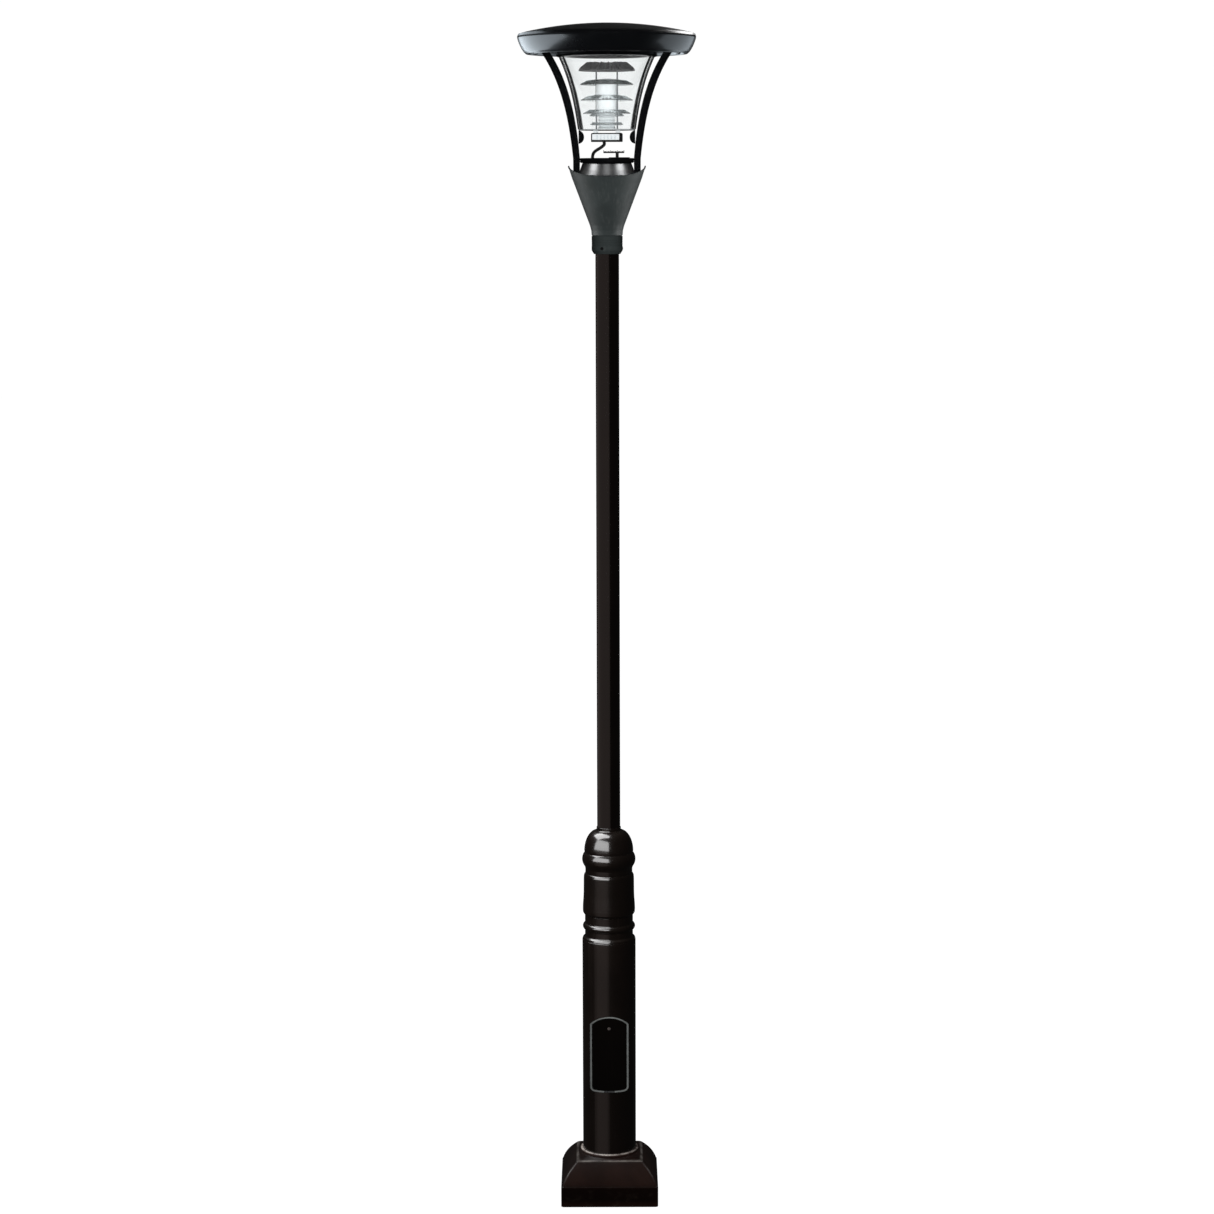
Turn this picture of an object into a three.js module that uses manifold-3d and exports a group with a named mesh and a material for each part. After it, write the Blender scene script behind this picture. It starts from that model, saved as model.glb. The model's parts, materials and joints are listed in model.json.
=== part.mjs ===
// A post-top garden lantern on a decorative lamp column: a square cast base, a tube column with an access
// door and fuse box, a turned reducer, a slim pole, and a lantern with a clear trumpet cover and a hinged
// cap. Millimetres, +Z up, origin at the centre of the underside. The door faces -Y, the arms are at +X, -X.
import * as THREE from 'three';
import { mergeVertices } from 'three/addons/utils/BufferGeometryUtils.js';
import Module from 'manifold-3d';

const wasm = await Module();
wasm.setup();

// ---------------------------------------------------------------- driving dimensions
const GAP = 0.3; // between pieces that touch
const FINE = 28; // facets round a large turned piece
const COARSE = 16; // facets round a small one
const CAP_FACETS = 40; // facets round the wide cap

const columnR = 69.85; // 139.7 mm tube
const columnWall = 5;
const columnTop = 691;
const poleR = 30.15; // 60.3 mm tube
const poleWall = 3;
const poleFoot = columnTop - 71; // the pole starts inside the column
const poleTop = 2531;

const flangeHalf = 100;
const flangeThick = 16;
const flangeHoleR = 36;
const anchorSpacing = 150;
const anchorHoleR = 9;
const gussetThick = 8;
const gussetHeight = 50;
const gussetReach = flangeHalf - columnR - 8.15;

const baseHalf = 127;
const basePlinth = 54;
const baseShoulderHalf = columnR + 16.15;
const baseShoulderZ = 112;
const baseWall = 7;
const baseCorner = 9;
const collarR = columnR + 6.15;
const collarFoot = 118.3;
const collarHeight = 7;

const doorFoot = 292; // lowest edge of the opening
const doorHeight = 205;
const doorHalf = 51;
const doorArch = 25; // rise of the arched top
const doorCorner = 11;
const sealWidth = 3.6;
const doorPlay = 1.6; // between the seal and the door leaf

const hingeR = 2.4;
const hingePinR = 1.2;
const hingeHalf = 12;
const hingeKnuckleHalf = 4;
const hingeStrap = 1.7;

const lockZ = 465;
const lockHeadR = 4.5;
const lockShankR = 3;
const boltThrow = 16;
const boltHalf = 8;
const boltThick = 3;
const boltTop = 488;
const boltFoot = 440;

const barThick = 4;
const barHalf = 15;
const fuseBox = { half: 28, depth: 29, foot: 360, height: 90 };
const carrier = { half: 14, foot: 381, height: 48, depth: 20, grip: 16 };
const cableR = 4;

const castWall = 9; // of the turned reducer
const grooveR = columnR - 7; // its narrowest rings
const ringTop = columnTop + 66;
const barrelTop = columnTop + 177;
const domeZ = columnTop + 234; // where the dome starts to close in
const domeHeight = 56;
const domeTop = columnTop + 299;
const plateThick = 8;
const lowerPlateZ = columnTop - 46;
const upperPlateZ = barrelTop + 4;

const lanternZ = poleTop - 54; // underside of the neck collar
const neckR = poleR + 9.25;
const neckHeight = 47;
const neckPlay = 0.5; // between the neck bore and the pole
const setScrewZ = 14;
const setScrewR = 4;
const cupWall = 2.6;
const cupHeight = 226; // at the sides, where the rim stands highest
const cupRimR = 99.5;
const cupDip = 27; // how far the rim dips at the front and the back
const cupPlateZ = 188;
const cupPlateThick = 6;
const cupShoulderR = 88.7;
const cupPlateR = cupShoulderR - cupWall - 2.6;
const innerRingFootR = 77;
const innerRingTopR = 62;
const innerRingTop = 229;
const lowerRingR = 68.4;
const lowerRingHoleR = 52;
const lowerRingHeight = 12.2;

const armSpread = 71.7; // the arm's outer edge is spread + swing * exp((z - swingZ) / swingLength)
const armSwing = 88.5;
const armSwingZ = 498;
const armSwingLength = 140;
const armFootR = 85.6; // the foot stands straight below this radius
const armDepthFoot = 16.5;
const armDepthTop = 22;
const armWidth = 14;
const soffitZ = 508.5; // underside of the cap
const lugHalf = 16.5;
const lugReach = 14;
const lugThick = 12;

const carrierZ = 310.8;
const carrierThick = 2.4;
const carrierR = 72;
const driver = { half: 40, depth: 25, height: 22, foot: 282 };
const coverRatio = 0.77; // the cover follows the arms at this share of their spread
const coverWall = 2.6;
const stripDepth = 14;
const stripHalf = 4.5;
const coverInset = 3.6; // the cover's skin lies this far inside the strip's outer edge
const coverTop = 494;
const topRingLip = 6.6; // how far the top ring stands out of the cover

const lampR = 27;
const lampHeight = 96;
const holderR = 22;
const holderHeight = 30;
const rodR = 2;
const rodSpread = 36;
const rodTurn = -42.6; // degrees round the axis from +X
// Each louvre's height at its outer edge, its outer radius, and how far it rises to its bore.
const louvres = [[324, 42, 4], [346, 44, 5], [352, 60, 9], [385, 66, 13], [424, 67.5, 12], [459, 71, 19]];
const louvreBore = 31;
const louvreThick = 1.6;

const capR = 225.5;
const capLowerR = capR - 16.5;
const capBandZ = 545;
const capLipR = capR - 41.5;
const capHoleR = 100;
const capTop = 551;
const capWall = 4;
const reflectorR = 112;
const crownR = capR - 9;
const crownRise = 25;
const crownThick = 3;
const crownEdge = 1.6; // its height at the edge
const topHingeY = capR - 4.2;
const topHingeR = 3.6;
const topPinR = 1.6;
const topHingeHalf = 27;
const topKnuckleHalf = 14;

// ---------------------------------------------------------------- materials
const finish = (color, roughness, metalness) => ({ color, roughness, metalness });
const blackGloss = finish(0x1a1412, 0.28, 0.2);
const blackCast = finish(0x20110e, 0.5, 0.2);
const greyPaint = finish(0x3c4242, 0.55, 0.2);
const capPaint = finish(0x161819, 0.35, 0.3);
const galvanised = finish(0x8d9194, 0.5, 0.9);
const brightSteel = finish(0xc9ccce, 0.25, 1);
const blackRubber = finish(0x101010, 0.9, 0);
const paleRubber = finish(0xb9bab8, 0.8, 0);
const whitePlastic = finish(0xe9ebea, 0.5, 0);
const greyPlastic = finish(0x6f7376, 0.6, 0);
const clearPlastic = finish(0xe8eef0, 0.08, 0);

// ---------------------------------------------------------------- shape tools
// One closed body facing out: vertices merged, flat triangles dropped, turned round if it came inside out.
function closed(geometry) {
  const bare = new THREE.BufferGeometry();
  const loose = geometry.index ? geometry.toNonIndexed() : geometry;
  bare.setAttribute('position', loose.getAttribute('position'));
  const merged = mergeVertices(bare, 1e-3);
  const at = merged.getAttribute('position');
  const corner = (i) => new THREE.Vector3().fromBufferAttribute(at, i);
  const faces = [];
  let volume = 0;
  for (let i = 0; i < merged.index.count; i += 3) {
    const face = [0, 1, 2].map((k) => merged.index.getX(i + k));
    if (new Set(face).size < 3) continue;
    faces.push(...face);
    const [a, b, c] = face.map(corner);
    volume += a.dot(b.cross(c));
  }
  if (volume < 0) faces.reverse();
  merged.setIndex(faces);
  return merged;
}

function manifold(geometry) {
  const { index, attributes } = closed(geometry);
  return new wasm.Manifold(new wasm.Mesh({
    numProp: 3,
    vertProperties: new Float32Array(attributes.position.array),
    triVerts: new Uint32Array(index.array),
  }));
}

function fromManifold(body) {
  const mesh = body.getMesh();
  const geometry = new THREE.BufferGeometry();
  geometry.setAttribute('position', new THREE.Float32BufferAttribute(mesh.vertProperties, 3));
  geometry.setIndex(new THREE.Uint32BufferAttribute(mesh.triVerts, 1));
  return geometry;
}

function cut(body, ...tools) {
  return fromManifold(tools.reduce((left, tool) => left.subtract(manifold(tool)), manifold(body)));
}

function join(body, ...others) {
  return fromManifold(others.reduce((sum, other) => sum.add(manifold(other)), manifold(body)));
}

function common(body, other) {
  return fromManifold(manifold(body).intersect(manifold(other)));
}

// A turned piece about Z from [radius, height] points; a profile off the axis closes on itself.
function turned(profile, facets = FINE) {
  const points = profile.map(([r, z]) => new THREE.Vector2(r, z));
  if (points[0].x > 0 || points[points.length - 1].x > 0) points.push(points[0].clone());
  return closed(new THREE.LatheGeometry(points, facets).rotateX(Math.PI / 2));
}

// A plain round bar between two heights; with a bore it is a ring or a tube.
function round(radius, foot, top, bore = 0, facets = COARSE) {
  return turned([[bore, foot], [radius, foot], [radius, top], [bore, top]], facets);
}

function block(x0, x1, y0, y1, z0, z1) {
  const geometry = new THREE.BoxGeometry(x1 - x0, y1 - y0, z1 - z0);
  return geometry.translate((x0 + x1) / 2, (y0 + y1) / 2, (z0 + z1) / 2);
}

// An outline in the XZ plane, given a thickness along Y from y0 to y1.
function plate(outline, y0, y1, curveSegments = 6) {
  const options = { depth: y1 - y0, bevelEnabled: false, curveSegments };
  return new THREE.ExtrudeGeometry(outline, options).rotateX(Math.PI / 2).translate(0, y1, 0);
}

function outline(points) {
  return new THREE.Shape(points.map(([x, z]) => new THREE.Vector2(x, z)));
}

// A bar with its axis along Y or X, centred on the other two coordinates.
function barAlongY(radius, x, z, y0, y1, facets = 16) {
  return round(radius, y0, y1, 0, facets).rotateX(-Math.PI / 2).translate(x, 0, z);
}

function barAlongX(radius, y, z, x0, x1, facets = 16) {
  return round(radius, x0, x1, 0, facets).rotateY(Math.PI / 2).translate(0, y, z);
}

function cable(points, steps) {
  const path = new THREE.CatmullRomCurve3(points.map((p) => new THREE.Vector3(...p)));
  const section = new THREE.Shape().absarc(0, 0, cableR, 0, 2 * Math.PI);
  const options = { extrudePath: path, steps, curveSegments: 3, bevelEnabled: false };
  return new THREE.ExtrudeGeometry(section, options);
}

// A square tower with rounded corners, lofted through [half width, height] levels and capped at both ends.
function squareLoft(levels, corner) {
  const perCorner = 3;
  const ring = 4 * (perCorner + 1);
  const positions = [];
  for (const [half, z] of levels) {
    for (let i = 0; i < ring; i += 1) {
      const side = Math.floor(i / (perCorner + 1));
      const turn = (side + (i % (perCorner + 1)) / perCorner) * (Math.PI / 2);
      const centre = half - corner;
      const cx = side === 0 || side === 3 ? centre : -centre;
      const cy = side < 2 ? centre : -centre;
      positions.push(cx + corner * Math.cos(turn), cy + corner * Math.sin(turn), z);
    }
  }
  positions.push(0, 0, levels[0][1], 0, 0, levels[levels.length - 1][1]);
  const foot = levels.length * ring;
  const faces = [];
  for (let level = 0; level + 1 < levels.length; level += 1) {
    for (let i = 0; i < ring; i += 1) {
      const a = level * ring + i;
      const b = level * ring + ((i + 1) % ring);
      faces.push(a, b, b + ring, a, b + ring, a + ring);
    }
  }
  for (let i = 0; i < ring; i += 1) {
    const next = (i + 1) % ring;
    faces.push(foot, next, i, foot + 1, foot - ring + i, foot - ring + next);
  }
  const geometry = new THREE.BufferGeometry();
  geometry.setAttribute('position', new THREE.Float32BufferAttribute(positions, 3));
  geometry.setIndex(faces);
  return closed(geometry);
}

// Points along an arc in a profile, from angle to angle, in degrees.
function arc(r, z, radius, from, to, count = 5) {
  return Array.from({ length: count + 1 }, (_, i) => {
    const turn = THREE.MathUtils.degToRad(from + ((to - from) * i) / count);
    return [r + radius * Math.cos(turn), z + radius * Math.sin(turn)];
  });
}

function mesh(name, geometry, look) {
  const made = new THREE.Mesh(closed(geometry), new THREE.MeshStandardMaterial(look));
  made.name = name;
  return made;
}

function group(z, ...members) {
  const made = new THREE.Group();
  made.position.z = z;
  made.add(...members);
  return made;
}

// ---------------------------------------------------------------- base
function baseFlange() {
  const body = block(-flangeHalf, flangeHalf, -flangeHalf, flangeHalf, 0, flangeThick);
  const reach = anchorSpacing / 2;
  const holes = [-1, 1].flatMap((sx) => [-1, 1].map((sy) => (
    round(anchorHoleR, -1, flangeThick + 1).translate(sx * reach, sy * reach, 0)
  )));
  return mesh('base_flange', cut(body, round(flangeHoleR, -1, flangeThick + 1), ...holes), galvanised);
}

function gussets() {
  const foot = flangeThick + GAP;
  const inner = columnR + GAP;
  const rib = outline([[inner, foot], [inner + gussetReach, foot], [inner + gussetReach, foot + 12],
    [inner + 6, foot + gussetHeight], [inner, foot + gussetHeight]]);
  return ['right', 'rear', 'left', 'front'].map((side, i) => {
    const made = mesh(`gusset_${side}`, plate(rib, -gussetThick / 2, gussetThick / 2), galvanised);
    made.rotation.z = (i * Math.PI) / 2;
    return made;
  });
}

// The skirt's side bulges from the plinth up to the shoulder.
function skirtLevels(inset) {
  const side = new THREE.QuadraticBezierCurve(
    new THREE.Vector2(baseHalf - 0.8, basePlinth),
    new THREE.Vector2(baseHalf - 11, baseShoulderZ - 28),
    new THREE.Vector2(baseShoulderHalf, baseShoulderZ),
  );
  return side.getPoints(4).map((p) => [p.x - inset, p.y - inset * 0.6]);
}

function baseCover() {
  const outer = squareLoft([[baseHalf, 0], [baseHalf, basePlinth - 1], ...skirtLevels(0),
    [columnR + 4, collarFoot - GAP]], baseCorner);
  const inner = squareLoft([[baseHalf - baseWall, -1], [baseHalf - baseWall, basePlinth - 6],
    ...skirtLevels(baseWall).slice(1)], baseCorner - 4);
  const bore = round(columnR + 2 * GAP, -2, collarFoot + 1, 0, FINE);
  return mesh('base_cover', cut(outer, inner, bore), blackCast);
}

function baseCollar() {
  const top = collarFoot + collarHeight;
  const bore = columnR + 2 * GAP;
  const profile = [[bore, collarFoot], [collarR, collarFoot], [collarR, top - 2.5], [collarR - 2.5, top],
    [bore, top]];
  return mesh('base_collar', turned(profile), blackCast);
}

// ---------------------------------------------------------------- column and door
// The door outline: straight bottom with rounded corners, straight sides, arched top; inset all round.
function doorOutline(inset) {
  const half = doorHalf - inset;
  const foot = doorFoot + inset;
  const archR = (doorHalf ** 2 + doorArch ** 2) / (2 * doorArch) - inset;
  const archZ = doorFoot + doorHeight - inset - archR;
  const corner = Math.max(doorCorner - inset, 3);
  const swing = Math.asin(half / archR);
  const shape = new THREE.Shape();
  shape.moveTo(-half + corner, foot);
  shape.lineTo(half - corner, foot);
  shape.absarc(half - corner, foot + corner, corner, -Math.PI / 2, 0);
  shape.absarc(0, archZ, archR, Math.PI / 2 - swing, Math.PI / 2 + swing);
  shape.absarc(-half + corner, foot + corner, corner, Math.PI, 1.5 * Math.PI);
  return shape;
}

// How far from the axis a flat piece of this half width can lie behind the tube's faceted inner wall.
function insideWall(half) {
  return Math.sqrt((columnR - columnWall) ** 2 - half ** 2) * Math.cos(Math.PI / FINE) - GAP;
}

const tubeShell = (foot, top) => round(columnR, foot, top, columnR - columnWall, FINE);
const doorCutter = (inset) => plate(doorOutline(inset), -columnR - 10, 0, 8);
const doorShell = () => tubeShell(doorFoot - 5, doorFoot + doorHeight + 5);

function lowerColumn() {
  return mesh('lower_column', cut(tubeShell(flangeThick + GAP, columnTop), doorCutter(0)), blackGloss);
}

const hinge = { y: -columnR - 1.35, z: doorFoot + 3 };

function doorSeal() {
  const frame = cut(common(doorShell(), doorCutter(GAP)), doorCutter(GAP + sealWidth));
  const notch = hingeHalf + 1.5;
  const relief = block(-notch, notch, -columnR - 9, 0, doorFoot - 1, doorFoot + 9);
  return mesh('door_seal', cut(frame, relief), paleRubber);
}

function doorLeaf() {
  const leaf = common(doorShell(), doorCutter(GAP + sealWidth + doorPlay));
  const railIn = boltHalf + 0.6;
  const skin = -columnR + columnWall - 0.6;
  const rails = [-1, 1].map((side) => {
    const x0 = side > 0 ? railIn : -railIn - 2.4;
    return block(x0, x0 + 2.4, skin - 1, skin + 6, boltFoot + 10, boltTop - 4);
  });
  const hole = barAlongY(lockHeadR + 0.4, 0, lockZ, -columnR - 5, -columnR + 12);
  return mesh('door', cut(join(leaf, ...rails), hole), blackGloss);
}

const hingeBore = () => barAlongX(hingePinR + GAP, hinge.y, hinge.z, -hingeHalf - 2, hingeHalf + 2, 12);

// The column's half: a knuckle, a strap through the gap under the door, and a leaf behind the wall.
function hingeBracket() {
  const behind = -insideWall(hingeHalf);
  const half = hingeKnuckleHalf - GAP;
  const knuckle = barAlongX(hingeR, hinge.y, hinge.z, -half, half);
  const strapZ = doorFoot + GAP;
  const strap = block(-half, half, hinge.y, behind + 2, strapZ, strapZ + hingeStrap);
  const leaf = block(-half, half, behind, behind + 2, strapZ - 18, strapZ + 1);
  return mesh('hinge_bracket', cut(join(knuckle, strap, leaf), hingeBore()), galvanised);
}

// The door's half: two knuckles, their straps, and a leaf inside the door.
function doorHinge() {
  const behind = -insideWall(hingeHalf);
  const strapTop = doorFoot + GAP + sealWidth + doorPlay - GAP;
  const sides = [-1, 1].flatMap((side) => {
    const x0 = side > 0 ? hingeKnuckleHalf + GAP : -hingeHalf;
    const x1 = side > 0 ? hingeHalf : -hingeKnuckleHalf - GAP;
    return [
      barAlongX(hingeR, hinge.y, hinge.z, x0, x1),
      block(x0, x1, hinge.y, behind + 1.6, strapTop - hingeStrap, strapTop),
    ];
  });
  const leaf = block(-hingeHalf, hingeHalf, behind, behind + 1.6, strapTop - hingeStrap, strapTop + 18);
  const clear = hingeKnuckleHalf + GAP;
  const relief = block(-clear, clear, -columnR - 9, 0, doorFoot - 1, strapTop + GAP);
  return mesh('door_hinge', cut(join(sides[0], ...sides.slice(1), leaf), relief, hingeBore()), galvanised);
}

function hingePin() {
  const half = hingeHalf + 1;
  return mesh('hinge_pin', barAlongX(hingePinR, hinge.y, hinge.z, -half, half, 12), brightSteel);
}

const boltY = -insideWall(boltHalf) + 0.5; // outer face of the lock bolt

function lockBarrel() {
  const crank = boltY + boltThick + 0.4;
  const head = barAlongY(lockHeadR, 0, lockZ, -columnR - 0.4, boltY - 0.4, 24);
  const shank = barAlongY(lockShankR, 0, lockZ, boltY - 1, crank + 1);
  const disc = barAlongY(boltHalf, 0, lockZ, crank, crank + 2);
  const socket = barAlongY(2.3, 0, lockZ, -columnR - 2, -columnR + 2.5, 6);
  return mesh('lock_barrel', cut(join(head, shank, disc), socket), brightSteel);
}

function lockBolt() {
  const slotHalf = lockShankR + 0.5;
  const body = block(-boltHalf, boltHalf, boltY, boltY + boltThick, boltFoot, boltTop);
  const slot = block(-slotHalf, slotHalf, boltY - 1, boltY + boltThick + 1,
    lockZ - boltThrow - slotHalf, lockZ + slotHalf);
  return mesh('lock_bolt', cut(body, slot), galvanised);
}

// ---------------------------------------------------------------- inside the column
const barY = insideWall(barHalf); // rear face of the mounting bar
const boxRear = barY - barThick - GAP;
const boxFront = boxRear - fuseBox.depth;

function mountingBar() {
  const foot = doorFoot + 10;
  return mesh('mounting_bar', block(-barHalf, barHalf, barY - barThick, barY, foot, foot + 215), galvanised);
}

function fuseBoxBody() {
  const top = fuseBox.foot + fuseBox.height;
  const body = block(-fuseBox.half, fuseBox.half, boxFront, boxRear, fuseBox.foot, top);
  const play = GAP + 0.2;
  const recess = block(-carrier.half - play, carrier.half + play, boxFront - 1, boxFront + carrier.depth + play,
    carrier.foot - play, carrier.foot + carrier.height + play);
  return mesh('fuse_box', cut(body, recess), greyPlastic);
}

function fuseCarrier() {
  const top = carrier.foot + carrier.height;
  const { half, foot } = carrier;
  const body = block(-half, half, boxFront - 4, boxFront + carrier.depth, foot, top);
  const grip = block(-half + 5, half - 5, boxFront - carrier.grip, boxFront - 3, foot + 12, top - 12);
  return mesh('fuse_carrier', join(body, grip), finish(0x1b1b1c, 0.5, 0));
}

function riserCable() {
  const boxTop = fuseBox.foot + fuseBox.height + GAP;
  const y = boxRear - 14;
  const climb = [0.2, 0.5, 0.8].map((share) => [0, 0, THREE.MathUtils.lerp(poleFoot, poleTop, share)]);
  const points = [[0, y, boxTop], [0, y, boxTop + 35], [0, y * 0.66, poleFoot - 75], [0, 8, poleFoot - 15],
    [0, 0, poleFoot + 40], ...climb, [0, 0, poleTop + 9]];
  return mesh('riser_cable', cable(points, 44), blackRubber);
}

// ---------------------------------------------------------------- turned reducer and pole
const beadR = columnR - 1.4;
const turnedBore = grooveR - castWall;

function turnedLowerRing() {
  const foot = columnTop + GAP;
  const profile = [[turnedBore, foot], [columnR - 1, foot], [grooveR, foot + 8.7], [grooveR, foot + 20.7],
    ...arc(grooveR - 4, foot + 34.7, 9.6, -55, 55, 4), [grooveR, foot + 49.7], [grooveR, ringTop],
    [turnedBore, ringTop]];
  return mesh('turned_lower_ring', turned(profile), blackGloss);
}

function turnedBarrel() {
  const foot = ringTop + GAP;
  const profile = [[turnedBore, foot], [grooveR, foot], [beadR, foot + 5.7], [beadR, foot + 24.7],
    [columnR - 3.6, foot + 50.7], [columnR - 4.2, barrelTop - 6], [columnR - 8.2, barrelTop],
    [turnedBore, barrelTop]];
  return mesh('turned_barrel', turned(profile), blackGloss);
}

// The dome closes in on the pole: outer and inner skins are quarter ellipses with the wall between them.
function turnedDome() {
  const foot = barrelTop + GAP;
  const neck = poleR + 1.6;
  const reach = columnR - 5.6 - neck;
  const closing = (inset, from, to, count) => arc(neck, domeZ, reach - inset, from, to, count).map(([r, z]) => (
    [r, domeZ + (z - domeZ) * (domeHeight / reach)]
  ));
  const bore = poleR + GAP;
  const inner = columnR - 10;
  const bulge = arc(columnR - 29, domeZ - 20, 29, -40, 40, 6);
  const profile = [[inner, foot], [columnR - 8.4, foot], [columnR - 8.4, foot + 9.7], ...bulge,
    ...closing(0, 4, 86, 5), [neck, domeTop], [bore, domeTop], [bore, domeTop - 14],
    ...closing(castWall, 4, 80, 3).reverse(), [inner, domeZ - 12]];
  return mesh('turned_dome', turned(profile), blackGloss);
}

function centringPlates() {
  const inner = columnR - columnWall - GAP * 2;
  const places = [['lower', lowerPlateZ, inner], ['upper', upperPlateZ, columnR - 10 - GAP]];
  return places.map(([side, z, r]) => (
    mesh(`centring_plate_${side}`, round(r, z, z + plateThick, poleR + GAP, FINE), galvanised)
  ));
}

function upperTube() {
  return mesh('upper_tube', round(poleR, poleFoot, poleTop, poleR - poleWall, 32), blackGloss);
}

// ---------------------------------------------------------------- lantern, in its own frame from the neck up
const armOuter = (z) => Math.max(armFootR, armSpread + armSwing * Math.exp((z - armSwingZ) / armSwingLength));
const armInner = (z) => {
  const share = THREE.MathUtils.clamp((z - cupPlateZ) / (soffitZ - cupPlateZ), 0, 1);
  return armOuter(z) - THREE.MathUtils.lerp(armDepthFoot, armDepthTop, share);
};
const coverOuter = (z) => coverRatio * armOuter(z);
const topRingR = coverOuter(coverTop) + topRingLip;

// Heights from one level to another, both included.
function heights(from, to, count) {
  return Array.from({ length: count + 1 }, (_, i) => THREE.MathUtils.lerp(from, to, i / count));
}

function neckCollar() {
  const bore = poleR + neckPlay;
  const profile = [[bore, 0], [neckR - 6, 0], [neckR, 9], [neckR, neckHeight], [bore, neckHeight]];
  const holes = setScrewTurns.map((turn) => screwBar(setScrewR + GAP, poleR - 3, neckR + 5).rotateZ(turn));
  return mesh('neck_collar', cut(turned(profile), ...holes), greyPaint);
}

const setScrewTurns = [-110, 10, 130].map(THREE.MathUtils.degToRad);
const screwBar = (radius, from, to) => barAlongX(radius, 0, setScrewZ, from, to, 12);

function setScrews() {
  return setScrewTurns.map((turn, i) => {
    const body = screwBar(setScrewR, poleR + GAP, neckR + 1.2);
    const socket = barAlongX(1.8, 0, setScrewZ, neckR - 2.5, neckR + 3, 6);
    const made = mesh(`set_screw_${i + 1}`, cut(body, socket), brightSteel);
    made.rotation.z = turn;
    return made;
  });
}

const cupOutline = [[neckR, neckHeight + GAP], [neckR + 1.2, 63], [neckR + 4, 72], [cupShoulderR, 191],
  [97, 217], [cupRimR, cupHeight]];

function cup() {
  const floor = poleTop - lanternZ + 0.5;
  const inner = cupOutline.map(([r, z]) => [r - cupWall, z]);
  const profile = [[poleR + neckPlay, neckHeight + GAP], ...cupOutline, ...inner.slice(2).reverse(),
    [inner[1][0] - 1, floor + 4], [12, floor + 4], [12, floor], [poleR + neckPlay, floor]];
  const dip = barAlongY(cupRimR, 0, 0, -cupRimR - 10, cupRimR + 10, 64)
    .scale(1, 1, cupDip / cupRimR).translate(0, 0, cupHeight);
  return mesh('cup', cut(turned(profile), dip), greyPaint);
}

const cablePass = { x: -37, r: cableR + 1.5 };
const passHole = (z0, z1) => round(cablePass.r, z0, z1, 0, 12).translate(cablePass.x, 0, 0);

function cupPlate() {
  const top = cupPlateZ + cupPlateThick;
  const disc = round(cupPlateR, cupPlateZ, top, 0, FINE);
  return mesh('cup_plate', cut(disc, passHole(cupPlateZ - 1, top + 1)), galvanised);
}

const armFoot = cupPlateZ + cupPlateThick + GAP;
const armSlots = () => [-1, 1].map((side) => {
  const near = armInner(armFoot) - 1;
  return block(...(side > 0 ? [near, 130] : [-130, -near]), -armWidth / 2 - 1, armWidth / 2 + 1, 180, 260);
});

function innerRing() {
  const lip = innerRingTopR - 2;
  const profile = [[innerRingFootR, armFoot], [innerRingTopR, innerRingTop], [lip, innerRingTop],
    [lip, innerRingTop - 3], [innerRingFootR - 2.5, armFoot]];
  return mesh('inner_ring', cut(turned(profile), ...armSlots()), brightSteel);
}

function lowerRing() {
  const foot = innerRingTop + GAP;
  const top = foot + lowerRingHeight;
  const profile = [[lowerRingHoleR, foot], [lowerRingR - 2, foot], [lowerRingR, foot + 2],
    [lowerRingR, top - 1.5], [lowerRingR - 1.5, top], [lowerRingHoleR, top]];
  return mesh('lower_ring', turned(profile), blackCast);
}

function arms() {
  const levels = heights(armFoot, soffitZ - GAP, 12);
  return [['right', 1], ['left', -1]].map(([side, sign]) => {
    const outer = levels.map((z) => [sign * armOuter(z), z]);
    const inner = levels.map((z) => [sign * armInner(z), z]).reverse();
    const arm = plate(outline([...outer, ...inner]), -armWidth / 2, armWidth / 2);
    return mesh(`arm_${side}`, arm, capPaint);
  });
}

function armLugs() {
  const centre = carrierZ - GAP - lugHalf;
  const face = Math.min(armInner(centre - lugHalf), armInner(centre + lugHalf)) - GAP;
  return [['right', 1], ['left', -1]].map(([side, sign]) => {
    const edge = Array.from({ length: 9 }, (_, i) => {
      const turn = ((i - 4) * Math.PI) / 8;
      return [sign * (face - lugReach * Math.cos(turn)), centre + lugHalf * Math.sin(turn)];
    });
    return mesh(`arm_lug_${side}`, plate(outline(edge), -lugThick / 2, lugThick / 2), capPaint);
  });
}

function carrierPlate() {
  return mesh('carrier_plate', round(carrierR, carrierZ, carrierZ + carrierThick, 0, FINE), greyPaint);
}

function driverBox() {
  const top = driver.foot + driver.height;
  const body = block(-driver.half, driver.half, -driver.depth, driver.depth, driver.foot, top);
  const feet = [-1, 1].map((side) => {
    const x = side * (driver.half - 12);
    return block(x - 6, x + 6, -driver.depth + 4, driver.depth - 4, top - 1, carrierZ - GAP);
  });
  return mesh('driver_box', join(body, ...feet), whitePlastic);
}

function driverCable() {
  const points = [[0, 0, poleTop + 10 - lanternZ], [0, 0, 100], [-12, 0, 140], [cablePass.x, 0, 180],
    [cablePass.x, 0, 205], [cablePass.x, 0, 236], [-33, 0, 255], [-15, 0, 268], [-7, 0, driver.foot - 7],
    [-7, 0, driver.foot - GAP]];
  return mesh('driver_cable', cable(points, 24), blackRubber);
}

function terminalBlock() {
  const foot = innerRingTop + GAP + lowerRingHeight + GAP;
  const deck = block(5, lowerRingHoleR + 6, -8, 8, foot, foot + 1.6);
  const post = block(22, 30, -4, 4, foot + 1, foot + 13);
  const strip = block(-9, 44, -6, 6, foot + 12, foot + 19);
  return mesh('terminal_block', join(strip, post, deck), blackRubber);
}

const plateTop = carrierZ + carrierThick + GAP;

function lampHolder() {
  return mesh('lamp_holder', round(holderR, plateTop, plateTop + holderHeight, 0, COARSE), whitePlastic);
}

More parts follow.
